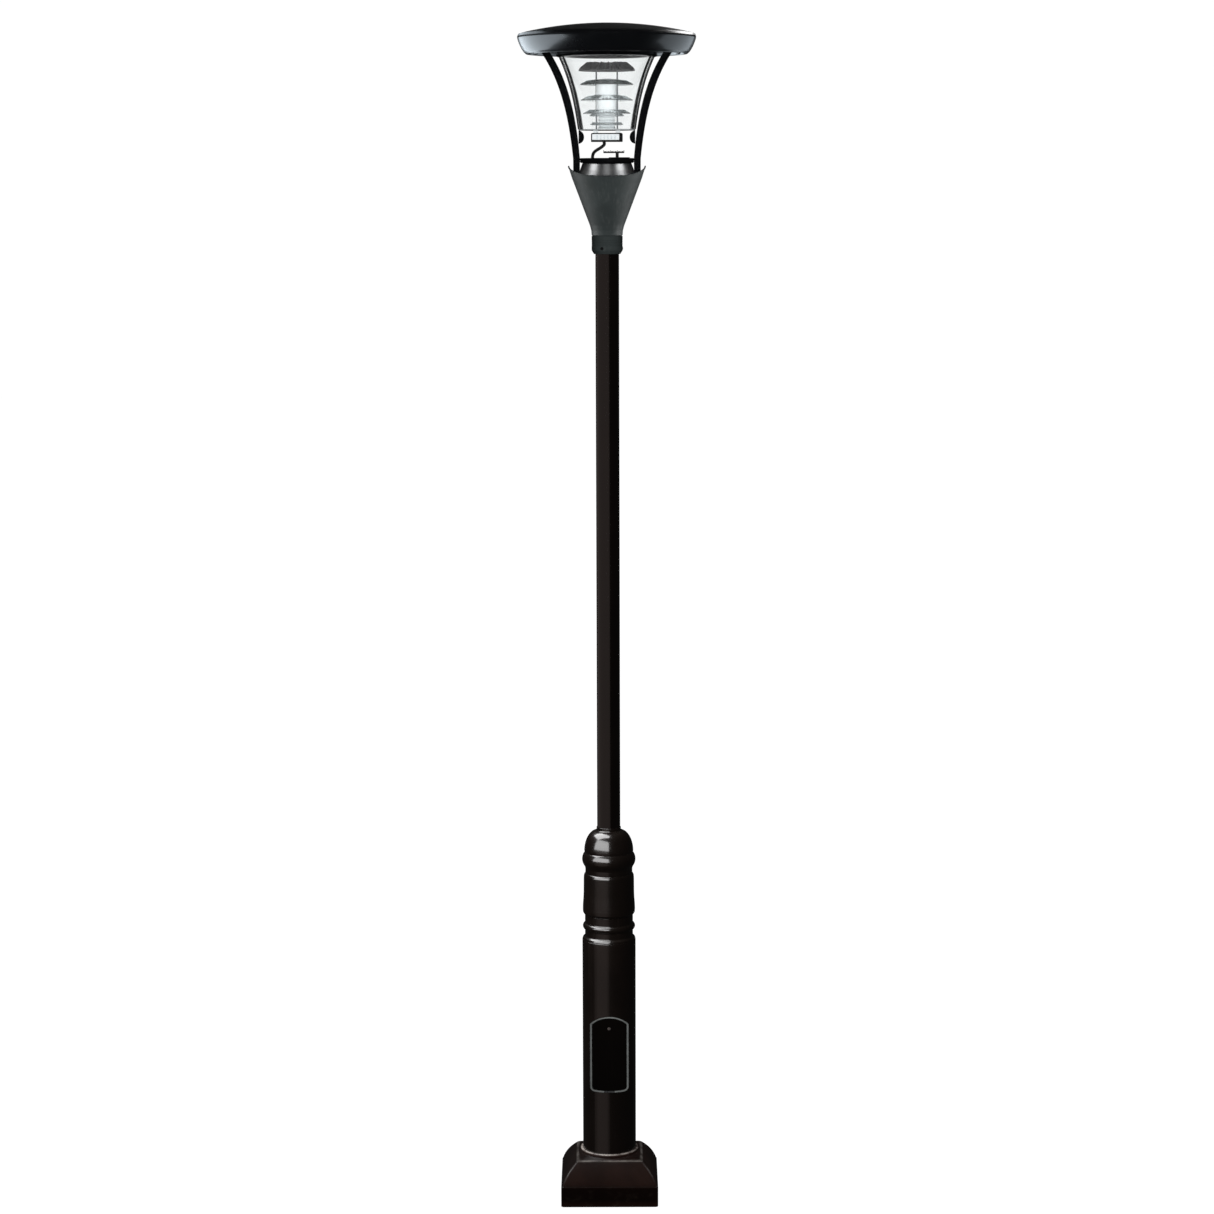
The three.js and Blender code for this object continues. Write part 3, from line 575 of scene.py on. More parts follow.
def combine(made, others, operation):
    """Cuts others out of made, or keeps what they share with it, and removes them."""
    for other in others:
        step = made.modifiers.new("step", "BOOLEAN")
        step.operation, step.solver, step.object = operation, "EXACT", other
        bpy.context.view_layer.update()
        result = bpy.data.meshes.new_from_object(made.evaluated_get(bpy.context.evaluated_depsgraph_get()))
        made.modifiers.clear()
        old, made.data = made.data, result
        bpy.data.meshes.remove(old)
        bpy.data.objects.remove(other)


def harden(made, sharp=32):
    """Marks the hard edges again after a cut."""
    bm = bmesh.new()
    bm.from_mesh(made.data)
    mark_hard(bm, sharp)
    bm.to_mesh(made.data)
    bm.free()


def weld(name, parts):
    """Several bodies as one object, without cutting them."""
    bm = bmesh.new()
    for part in parts:
        bm.from_mesh(part.data)
        bpy.data.objects.remove(part)
    return placed(name, bm)


def smooth_path(points, per_span):
    """A Catmull-Rom curve through points."""
    spots = [Vector(p) for p in points]
    spots = [spots[0] * 2 - spots[1], *spots, spots[-1] * 2 - spots[-2]]
    made = []
    for a, b, c, d in zip(spots, spots[1:], spots[2:], spots[3:]):
        for k in range(per_span):
            t = k / per_span
            made.append(0.5 * ((2 * b) + (c - a) * t + (2 * a - 5 * b + 4 * c - d) * t * t
                               + (3 * b - 3 * c + d - a) * t ** 3))
    return [*made, spots[-2]]


def hose(name, points, radius, sides, per_span):
    """A round cable along a smooth path."""
    path = smooth_path(points, per_span)
    side = Vector((0, 1, 0))
    loops = []
    for i, spot in enumerate(path):
        ahead = (path[min(i + 1, len(path) - 1)] - path[max(i - 1, 0)]).normalized()
        side = (side - ahead * side.dot(ahead)).normalized()
        up = ahead.cross(side)
        loops.append([spot + radius * (side * math.cos(TAU * k / sides) + up * math.sin(TAU * k / sides))
                      for k in range(sides)])
    return lofted(name, loops)


def deliver(made, body, material, nodes=(), slot=None):
    """Gives a finished piece its material and its body, hides the frame nodes it stands for, and lets it cast
    shadows unless its slot names a clear finish.
    """
    made.data.materials.clear()
    made.data.materials.append(material)
    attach(made, body)
    if nodes:
        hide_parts(*nodes)
    made.visible_shadow = not (slot or "").startswith("clear")


def dress(node, material, edge):
    """A frame piece that keeps its shape gets its material and eased edges."""
    made = frame["nodes"][node]
    made.data.materials.clear()
    made.data.materials.append(material)
    ease = made.modifiers.new("eased", "BEVEL")
    ease.width, ease.segments, ease.limit_method, ease.angle_limit = edge, 2, "ANGLE", math.radians(40)
    ease.harden_normals = False


# ---------------------------------------------------------------- outlines that several pieces share
def at(points, height=0.0, radius=0.0):
    """Millimetre points of an outline, set out from a radius and a height of the frame, in metres."""
    return [(radius + p[0] * MM, height + p[1] * MM, *(v * MM for v in p[2:])) for p in points]


def square_loop(half, corner, z, steps=8, side_steps=6):
    """A square with round corners, as points at one height."""
    made = []
    centre = half - corner
    for side in range(4):
        for k in range(steps + 1):
            turn = (side + k / steps) * math.pi / 2
            cx = centre if side in (0, 3) else -centre
            cy = centre if side < 2 else -centre
            made.append(Vector((cx + corner * math.cos(turn), cy + corner * math.sin(turn), z)))
        last = made[-1].copy()
        along = Vector((-math.cos(side * math.pi / 2), -math.sin(side * math.pi / 2), 0))
        for k in range(1, side_steps):
            made.append(last + along * (2 * centre * k / side_steps))
    return made


def onto_circle(loop, radius, z):
    """The same points pushed straight out or in onto a circle, at another height."""
    made = []
    for p in loop:
        reach = math.hypot(p.x, p.y)
        made.append(Vector((p.x * radius / reach, p.y * radius / reach, z)))
    return made


DOOR_HALF = DOOR_HIGH.x + GAP
DOOR_FOOT = DOOR_LOW.z - GAP
DOOR_TOP = DOOR_HIGH.z + GAP
DOOR_ARCH = 25 * MM
DOOR_CORNER = 11 * MM
LEAF_INSET = DOOR_HALF - high("door").x
HINGE_NOTCH = high("hinge_pin").x + 0.5 * MM


def door_outline(inset, notch=0.0):
    """The door's outline, inset all round, from the right of the notch under it round to the left of it."""
    half, foot = DOOR_HALF - inset, DOOR_FOOT + inset
    arch = (DOOR_HALF ** 2 + DOOR_ARCH ** 2) / (2 * DOOR_ARCH) - inset
    centre = DOOR_TOP - inset - arch
    corner = max(DOOR_CORNER - inset, 3 * MM)
    swing = math.asin(half / arch)
    shoulder = centre + arch * math.cos(swing)
    right = [(notch + (half - corner - notch) * k / 6, foot) for k in range(6)]
    for k in range(9):
        turn = -math.pi / 2 + math.pi / 2 * k / 8
        right.append((half - corner + corner * math.cos(turn), foot + corner + corner * math.sin(turn)))
    right += [(half, foot + corner + (shoulder - foot - corner) * k / 16) for k in range(1, 16)]
    for k in range(16):
        turn = swing * (1 - k / 16)
        right.append((arch * math.sin(turn), centre + arch * math.cos(turn)))
    left = [(-x, z) for x, z in reversed(right)]
    return [*right, (0.0, centre + arch), *left]


def on_tube(x, z, radius):
    """A point of a flat outline laid on the front of the column, at some radius."""
    turn = math.asin(x / COLUMN_R)
    return Vector((radius * math.sin(turn), -radius * math.cos(turn), z))


def rim_height(x):
    """Height of the cup's lip, which dips in half an ellipse towards the front and the back."""
    return high("cup").z - 27 * MM * math.sqrt(max(0.0, 1 - (x / CUP_R) ** 2))


LANTERN_Z = low("neck_collar").z


def arm_outer(z):
    """How far the arm's outer edge stands from the axis at a height above the neck's underside."""
    height = (z - LANTERN_Z) / MM
    return max(85.6, 71.7 + 88.5 * math.exp((height - 498) / 140)) * MM


def arm_inner(z):
    share = (z - low("cup_plate").z) / (SOFFIT - low("cup_plate").z)
    return arm_outer(z) - (16.5 + 5.5 * min(max(share, 0.0), 1.0)) * MM


def strip_outer(z):
    return 0.77 * arm_outer(z)


# ---------------------------------------------------------------- operators
class BuildPiece(bpy.types.Operator):
    """Common ground of the building operators."""

    bl_idname = "lamp.piece"
    bl_label = "Piece"
    bl_options = {"REGISTER", "UNDO"}

    def execute(self, context):
        self.build(context.scene.lamp_sizes, context.scene.lamp_colours)
        return {"FINISHED"}


class BuildBase(BuildPiece):
    """Square cast base cover with its bulging skirt, and the collar round the column"""

    bl_idname = "lamp.base"
    bl_label = "Base"

    def build(self, sizes, colours):
        paint = cast_paint(colours)
        half = high("base_cover").x
        top = high("base_cover").z
        wall, hip = WALL + 2 * MM, sizes.hip
        start, control, end = at([(-1.8, 54.6), (-10.6, 84), (-40.4, 110.6)], 0, half)
        side = [start, *bent(start, control, end)]
        plinth = [(-1.4, 0), (-0.5, 0.4), (0, 1.4), (0, 50.6), (-0.1, 52.2), (-0.6, 53.3), (-1.4, 53.9)]
        shelf, ledge = half - 44 * MM, 112.3 * MM
        outer = [*at(plinth, 0, half), *side, (half - 42 * MM, 111.6 * MM), (shelf, ledge)]
        loops = [square_loop(x, hip, z) for x, z in outer]
        for share, lift in ((0.5, 0.40), (0.85, 0.78), (1.0, 1.0)):
            here = square_loop(shelf, hip, 0)
            ring = onto_circle(here, COLUMN_R + 3.2 * MM, 0)
            z = ledge + (top - ledge) * lift
            loops.append([(a.lerp(b, share).x, a.lerp(b, share).y, z) for a, b in zip(here, ring)])
        here = loops[-1]
        bore = COLUMN_R + 0.6 * MM
        loops.append(onto_circle([Vector(p) for p in here], bore, top - 0.4 * MM))
        loops.append(onto_circle([Vector(p) for p in here], bore, top - wall))
        inner = [(x - wall, z - 0.6 * wall) for x, z in reversed(side)]
        loops += [square_loop(x, hip - 4 * MM, z) for x, z in inner]
        loops += [square_loop(half - wall, hip - 4 * MM, z) for z in (47 * MM, 0.0)]
        bm = bmesh.new()
        skin(bm, [[Vector(p) for p in loop] for loop in loops], ring=True, loop=True)
        deliver(to_object("Base_Cover", bm, 28), "column", paint, ["base_cover"], "cast_black")

        z = low("base_collar").z
        tall = (high("base_collar").z - z) / MM
        ring = eased(at([(0.6, 0, 0.3), (6.15, 0, 0.6), (6.15, tall, 2.4), (0.6, tall, 0.9)], z, COLUMN_R))
        deliver(turned("Base_Collar", ring, 192), "column", paint, ["base_collar"], "cast_black")


class BuildColumn(BuildPiece):
    """Column tube with its door opening, and the slim pole above"""

    bl_idname = "lamp.column"
    bl_label = "Column"

    def build(self, sizes, colours):
        paint = gloss_paint(colours)
        foot, top = heights("lower_column")
        levels = [foot, foot + 0.1, DOOR_FOOT - 0.03, DOOR_TOP + 0.03, top - 0.06]
        outer = [(COLUMN_R, z) for z in levels]
        inner = [(COLUMN_R - WALL, z) for z in reversed(levels)]
        lip = eased([(COLUMN_R, top - 0.02), (COLUMN_R, top, 1.6 * MM), (COLUMN_R - WALL, top, 1.2 * MM),
                     (COLUMN_R - WALL, top - 0.02)], closed=False)
        tube = turned("Lower_Column", [*outer, *lip, *inner], 192)
        combine(tube, [prism("cutter", door_outline(0), -COLUMN_R - 0.02, -0.01)], "DIFFERENCE")
        harden(tube, 35)
        deliver(tube, "column", paint, ["lower_column"], "gloss_black")

        foot, top = heights("upper_tube")
        profile = [(POLE_R, foot), (POLE_R, foot + 0.4), (POLE_R, foot + 0.9), (POLE_R, foot + 1.4),
                   (POLE_R, top), (POLE_R - 3 * MM, top), (POLE_R - 3 * MM, foot)]
        deliver(turned("Pole", profile, 128), "column", paint, ["upper_tube"], "gloss_black")


class BuildDoor(BuildPiece):
    """Access door, its rubber seal and its key-turned lock"""

    bl_idname = "lamp.door"
    bl_label = "Door"

    def build(self, sizes, colours):
        band = [(COLUMN_R, DOOR_FOOT), (COLUMN_R, DOOR_TOP), (COLUMN_R - WALL, DOOR_TOP),
                (COLUMN_R - WALL, DOOR_FOOT)]
        shell = turned("Access_Door", band, 192)
        combine(shell, [prism("cutter", door_outline(LEAF_INSET), -COLUMN_R - 0.02, -0.01)], "INTERSECT")
        hole = bar("cutter", (0, -COLUMN_R - 0.01, LOCK.z), (0, -COLUMN_R + 0.02, LOCK.z), 4.9 * MM, 0)
        combine(shell, [hole], "DIFFERENCE")
        harden(shell, 35)
        rails = []
        for side in (-1, 1):
            near, far = side * 8.6 * MM, side * 11 * MM
            y = -COLUMN_R + WALL - 0.4 * MM
            rails.append(block(f"rail_{side}", (min(near, far), y, LOCK.z - 0.015),
                               (max(near, far), y + 5.8 * MM, LOCK.z + 0.019), 0.5 * MM))
        leaf = weld("Access_Door", [shell, *rails])
        ease = leaf.modifiers.new("eased", "BEVEL")
        ease.width, ease.segments = 0.7 * MM, 3
        ease.limit_method, ease.angle_limit = "ANGLE", math.radians(50)
        deliver(leaf, "door", gloss_paint(colours), ["door"], "gloss_black")

        proud = sizes.seal_proud
        section = [(0.3, -5.0), (0.3, -0.2), (0.5, 0.45), (1.2, 0.85), (2.1, 1.0), (3.0, 0.85), (3.7, 0.45),
                   (3.9, -0.2), (3.9, -5.0)]
        rows = []
        for inset, lift in section:
            outline = door_outline(inset * MM, HINGE_NOTCH)
            rise = lift * proud if lift > 0 else lift * MM
            rows.append([on_tube(x, z, COLUMN_R + rise) for x, z in outline])
        gasket = rubber("pale_gasket", tuple(colours.seal), 0.6)
        deliver(lofted("Door_Seal", list(zip(*rows))), "column", gasket, ["door_seal"], "pale_rubber")

        head_y, tail_y = low("lock_barrel").y, high("lock_barrel").y
        crank = 2 * MM
        front = eased(at([(0, 0), (4.5, 0, 0.7), (4.5, 6.6), (3, 6.6), (3, 10.2), (8, 10.2, 0.4),
                          (8, 12.3, 0.4), (0, 12.3)]), closed=False)
        reach = tail_y - head_y
        front = [(r, min(y, reach)) for r, y in front]
        barrel = turned("Door_Lock", front, 64)
        barrel.data.transform(Matrix.Translation((0, head_y, LOCK.z)) @ Matrix.Rotation(-math.pi / 2, 4, "X"))
        key = lofted("cutter", [[(2.3 * MM * math.cos(TAU * k / 3 + 0.5), y, LOCK.z + 2.3 * MM
                                  * math.sin(TAU * k / 3 + 0.5)) for k in range(3)]
                                for y in (head_y - crank, head_y + 2.9 * MM)])
        combine(barrel, [key], "DIFFERENCE")
        harden(barrel)
        deliver(barrel, "lock", bright_steel(), ["lock_barrel"], "bright_steel")


class BuildFoundation(BuildPiece):
    """Galvanised flange, gussets, hinge, lock bolt, mounting bar and plates"""

    bl_idname = "lamp.foundation"
    bl_label = "Flange and fittings"

    def build(self, sizes, colours):
        zinc = galvanised()
        for node in ("base_flange", "gusset_right", "gusset_rear", "gusset_left", "gusset_front",
                     "mounting_bar", "lock_bolt", "hinge_bracket", "door_hinge", "cup_plate",
                     "centring_plate_lower", "centring_plate_upper"):
            small = node in ("hinge_bracket", "door_hinge", "lock_bolt")
            dress(node, zinc, 0.2 * MM if small else sizes.edge)
        dress("hinge_pin", bright_steel(), 0.2 * MM)
        dress("top_hinge_pin", bright_steel(), 0.2 * MM)


class BuildFuseGear(BuildPiece):
    """Fuse box, its pull-out carrier and the riser cable"""

    bl_idname = "lamp.fuse_gear"
    bl_label = "Fuse gear"

    def build(self, sizes, colours):
        dress("fuse_box", grey_moulding(), 1.2 * MM)
        dress("fuse_carrier", black_moulding(), 1.0 * MM)
        dress("riser_cable", black_cable(), 0.1 * MM)


class BuildReducer(BuildPiece):
    """Three turned castings that step the column down to the pole"""

    bl_idname = "lamp.reducer"
    bl_label = "Turned reducer"

    def build(self, sizes, colours):
        paint = gloss_paint(colours)
        bore = COLUMN_R - 16 * MM
        foot, top = heights("turned_lower_ring")
        tall = (top - foot) / MM
        groove, bead = -7.0, -1.4
        round_r = 9.6  # of the bead
        bends = [math.radians(-62 + 124 * k / 16) for k in range(17)]
        round_bead = [(bead - round_r * (1 - math.cos(b)), 34.7 + round_r * math.sin(b)) for b in bends]
        outer = [(-0.9, 0, 0.5), (-0.5, 1.6, 1.2), (-2.0, 5.2, 3), (groove, 9.2, 3), (groove, 24.6, 1.5),
                 *round_bead, (groove, 44.8, 1.5), (groove, tall - 1.2, 0.6), (groove + 0.4, tall, 0.4)]
        ring = eased([*at(outer, foot, COLUMN_R), (bore, top), (bore, foot)], steps=6)
        deliver(turned("Turned_Lower_Ring", ring, 192), "column", paint, ["turned_lower_ring"], "gloss_black")

        foot, top = heights("turned_barrel")
        tall = (top - foot) / MM
        outer = [(groove, 0, 0.4), (-4.6, 1.8, 3), (-1.9, 6.2, 4), (bead, 14, 8), (-1.7, 26, 8),
                 (-3.2, 46, 14), (-3.7, 60, 14), (-4.0, tall - 14, 10), (-4.5, tall - 6.6, 6),
                 (-6.1, tall - 2.4, 3), (-8.0, tall, 1.2)]
        barrel = eased([*at(outer, foot, COLUMN_R), (bore, top), (bore, foot)], steps=6)
        deliver(turned("Turned_Barrel", barrel, 192), "column", paint, ["turned_barrel"], "gloss_black")

        foot, top = heights("turned_dome")
        tall = (top - foot) / MM
        centre = 56.7  # height of the dome's widest line above its foot
        neck = POLE_R + 1.6 * MM
        reach = COLUMN_R - 5.6 * MM - neck
        outer = at([(-8.4, 0, 0.4), (-8.4, 12, 3)], foot, COLUMN_R)
        swell = 29 * MM  # radius of the bulge below the dome
        for k in range(25):
            turn = math.radians(-40 + 80 * k / 24)
            outer.append((COLUMN_R - swell * (1 - math.cos(turn)),
                          foot + (centre - 20) * MM + swell * math.sin(turn)))
        for k in range(25):
            turn = math.radians(3 + 83 * k / 24)
            outer.append((neck + reach * math.cos(turn), foot + centre * MM + 56 * MM * math.sin(turn)))
        outer += [(neck, foot + (tall - 8.0) * MM, 2 * MM), (neck, top, 0.8 * MM), (POLE_R + 0.3 * MM, top)]
        inner = [(POLE_R + 0.3 * MM, top - 14 * MM), (COLUMN_R - 20 * MM, top - 50 * MM),
                 (COLUMN_R - 10 * MM, foot + 40 * MM), (COLUMN_R - 10 * MM, foot)]
        dome = eased([*outer, *inner], steps=5)
        deliver(turned("Turned_Dome", dome, 192), "column", paint, ["turned_dome"], "gloss_black")


class BuildNeck(BuildPiece):
    """Ribbed neck collar that clamps the lantern to the pole, and its set screws"""

    bl_idname = "lamp.neck"
    bl_label = "Neck collar"

    def build(self, sizes, colours):
        foot, top = heights("neck_collar")
        tall, rib = (top - foot) / MM, sizes.rib / MM
        skin_r = (high("neck_collar").x - POLE_R) / MM
        outer = [(0.5, 0, 0.4), (3.6, 0, 1.0), (skin_r - 1.0, 7.6, 1.5), (skin_r, 9.6, 1.0)]
        z = 20.0
        while z + rib < tall - 6:
            outer += [(skin_r, z, 0.5), (skin_r - 0.9, z + 0.9, 0.6), (skin_r, z + 1.8, 0.5)]
            z += rib
        outer += [(skin_r, tall - 2.2, 0.5), (skin_r - 1.8, tall - 0.4, 0.5), (skin_r - 1.8, tall, 0.2),
                  (0.5, tall, 0.3)]
        collar = turned("Neck_Collar", eased(at(outer, foot, POLE_R)), 160)
        z = sum(heights("set_screw_1")) / 2
        turns = [math.radians(a) for a in (-110, 10, 130)]
        holes = []
        for turn in turns:
            way = Vector((math.cos(turn), math.sin(turn), 0))
            up = Vector((0, 0, z))
            near, far = way * (POLE_R - 3 * MM) + up, way * (POLE_R + 14 * MM) + up
            holes.append(bar("cutter", near, far, 4.3 * MM, 0))
        combine(collar, holes, "DIFFERENCE")
        harden(collar)
        deliver(collar, "lantern", lantern_paint(colours), ["neck_collar"], "grey_paint")
        for i, turn in enumerate(turns):
            length_out = skin_r + 1.0
            line = at([(0, 0.3), (4, 0.3, 0.5), (4, length_out, 0.7), (0, length_out)])
            screw = turned(f"Set_Screw_{i + 1}", eased(line, closed=False), 48)
            key = lofted("cutter", [[spun(1.9 * MM, TAU * k / 6, h * MM) for k in range(6)]
                                    for h in (length_out - 3, length_out + 2)])
            combine(screw, [key], "DIFFERENCE")
            harden(screw)
            place = Matrix.Rotation(turn, 4, "Z") @ Matrix.Translation((POLE_R, 0, z)) \
                @ Matrix.Rotation(math.pi / 2, 4, "Y")
            screw.data.transform(place)
            deliver(screw, "lantern", bright_steel(), [f"set_screw_{i + 1}"], "bright_steel")


class BuildCup(BuildPiece):
    """Flared cup whose lip dips at the front and the back"""

    bl_idname = "lamp.cup"
    bl_label = "Cup"

    def build(self, sizes, colours):
        foot, neck, wall = low("cup").z, high("neck_collar").x, 2.6 * MM
        flare = high("cup_plate").x + 5.2 * MM
        line = eased([(neck, foot), *at([(0.9, 12, 14), (4.4, 25, 20)], foot, neck),
                      *at([(0, 191, 60)], LANTERN_Z, flare), *at([(97.2, 217.5, 20)], LANTERN_Z),
                      (CUP_R, high("cup").z)], steps=12, closed=False)

        def radius_at(z):
            for (r0, z0), (r1, z1) in zip(line, line[1:]):
                if z <= z1:
                    return r0 + (r1 - r0) * max(0.0, z - z0) / (z1 - z0)
            return line[-1][0]

        straight = LANTERN_Z + 150 * MM
        lower = [(r, z) for r, z in line if z < straight]
        steps = 192
        loops = []
        for i in range(steps):
            turn = TAU * i / steps
            lip = high("cup").z
            for _ in range(12):
                lip = rim_height(radius_at(lip) * math.cos(turn))
            lip -= 0.6 * MM
            upper = [straight + (lip - 1.6 * MM - straight) * k / 10 for k in range(11)]
            skin_out = [*lower, *((radius_at(z), z) for z in upper)]
            edge = radius_at(lip)
            roll = []
            for k in range(9):
                bend = math.radians(-50 + 280 * k / 8)
                roll.append((edge - wall / 2 + 2.0 * MM * math.cos(bend),
                             lip - 1.4 * MM + 2.0 * MM * math.sin(bend)))
            skin_in = [(r - wall, z) for r, z in reversed(skin_out)]
            floor = high("upper_tube").z + 4.5 * MM
            skin_in = [p for p in skin_in if p[1] > floor + 3 * MM]
            bore, hole = POLE_R + 0.5 * MM, 12 * MM
            profile = [(bore, foot), *skin_out, *roll, *skin_in, (radius_at(floor) - 1.6 * wall, floor),
                       (hole, floor), (hole, floor - 4 * MM), (bore, floor - 4 * MM)]
            loops.append([spun(r, turn, z) for r, z in profile])
        bm = bmesh.new()
        skin(bm, loops, ring=True, loop=True)
        deliver(to_object("Cup", bm), "lantern", cup_finish(colours), ["cup"], "grey_paint")


class BuildThroat(BuildPiece):
    """Bright spun ring inside the cup and the black ring on it"""

    bl_idname = "lamp.throat"
    bl_label = "Rings"

    def build(self, sizes, colours):
        foot, top = heights("inner_ring")
        wide = -low("inner_ring").y
        tall = (top - foot) / MM
        outer = [(-3.0, 0, 0.3), (0, 0, 0.9), (0, 2.9, 1.3), (-1.5, 4.3, 1.2), (-8.3, 17, 30),
                 (-14.4, tall - 1.6, 2), (-15, tall, 0.4), (-17, tall, 0.4), (-17, tall - 3, 0.4),
                 (-10.2, 16.6, 30), (-3.4, 4.2, 1)]
        ring = turned("Bright_Ring", eased(at(outer, foot, wide), steps=6), 192)
        cutters = []
        for side in (-1, 1):
            near = arm_inner(foot) - 1.0 * MM
            cutters.append(block("cutter", (min(side * near, side * 0.13), -8 * MM, foot - 0.02),
                                 (max(side * near, side * 0.13), 8 * MM, top + 0.03), 0))
        combine(ring, cutters, "DIFFERENCE")
        harden(ring)
        deliver(ring, "lantern", spun_aluminium(), ["inner_ring"], "bright_ring")

        foot, top = heights("lower_ring")
        wide, tall = high("lower_ring").x, (top - foot) / MM
        outer = [(-16.4, 0, 0.4), (-2.2, 0, 0.8), (0, 2.2, 1.2), (0, 4.6, 0.3), (-0.7, 5.0, 0.3),
                 (-0.7, 5.6, 0.3), (0, 6.0, 0.3), (0, tall - 0.2, 1.4), (-16.4, tall - 0.2, 0.8)]
        deliver(turned("Lower_Ring", eased(at(outer, foot, wide)), 192), "lantern", cap_paint(colours),
                ["lower_ring"], "cast_black")


class BuildArms(BuildPiece):
    """Two cast arms that carry the cap, and the knobs that hold the carrier plate to them"""

    bl_idname = "lamp.arms"
    bl_label = "Arms"

    def build(self, sizes, colours):
        paint = cap_paint(colours)
        foot, top = heights("arm_right")
        half = sizes.arm_width / 2
        for side, sign in SIDES:
            loops = []
            levels = 48
            for i in range(levels + 1):
                z = foot + (top - foot) * i / levels
                outer, inner = arm_outer(z), arm_inner(z)
                ease, slope, flat = 3.2 * MM, outer - 3.4 * MM, half - 2.6 * MM
                section = eased([(inner, -half, ease), (inner + 4 * MM, -half), (slope, -half, ease),
                                 (outer, -flat, ease), (outer, flat, ease), (slope, half, ease),
                                 (inner + 4 * MM, half), (inner, half, ease)], steps=4)
                loops.append([(sign * x, y, z) for x, y in section])
            arm = lofted(f"Arm_{side.title()}", loops, 40)
            deliver(arm, "lantern", paint, [f"arm_{side}"], "cap_black")

            node = f"arm_lug_{side}"
            lug_low, lug_high = low(node), high(node)
            centre, tall = (lug_low.z + lug_high.z) / 2, (lug_high.z - lug_low.z) / 2
            near, far = (lug_high.x, lug_low.x) if sign > 0 else (lug_low.x, lug_high.x)
            loops = []
            for inset, y in ((2.0, -1.0), (0.6, -0.88), (0.0, -0.66), (0.0, 0.66), (0.6, 0.88), (2.0, 1.0)):
                row = [(near, lug_high.y * y, centre + tall - inset * MM)]
                reach = far - near - math.copysign(inset * MM, far - near)
                for k in range(25):
                    turn = math.pi / 2 - math.pi * k / 24
                    row.append((near + reach * math.cos(turn), lug_high.y * y,
                                centre + (tall - inset * MM) * math.sin(turn)))
                loops.append(row)
            deliver(lofted(f"Arm_Knob_{side.title()}", loops, 40), "lantern", paint, [node], "cap_black")


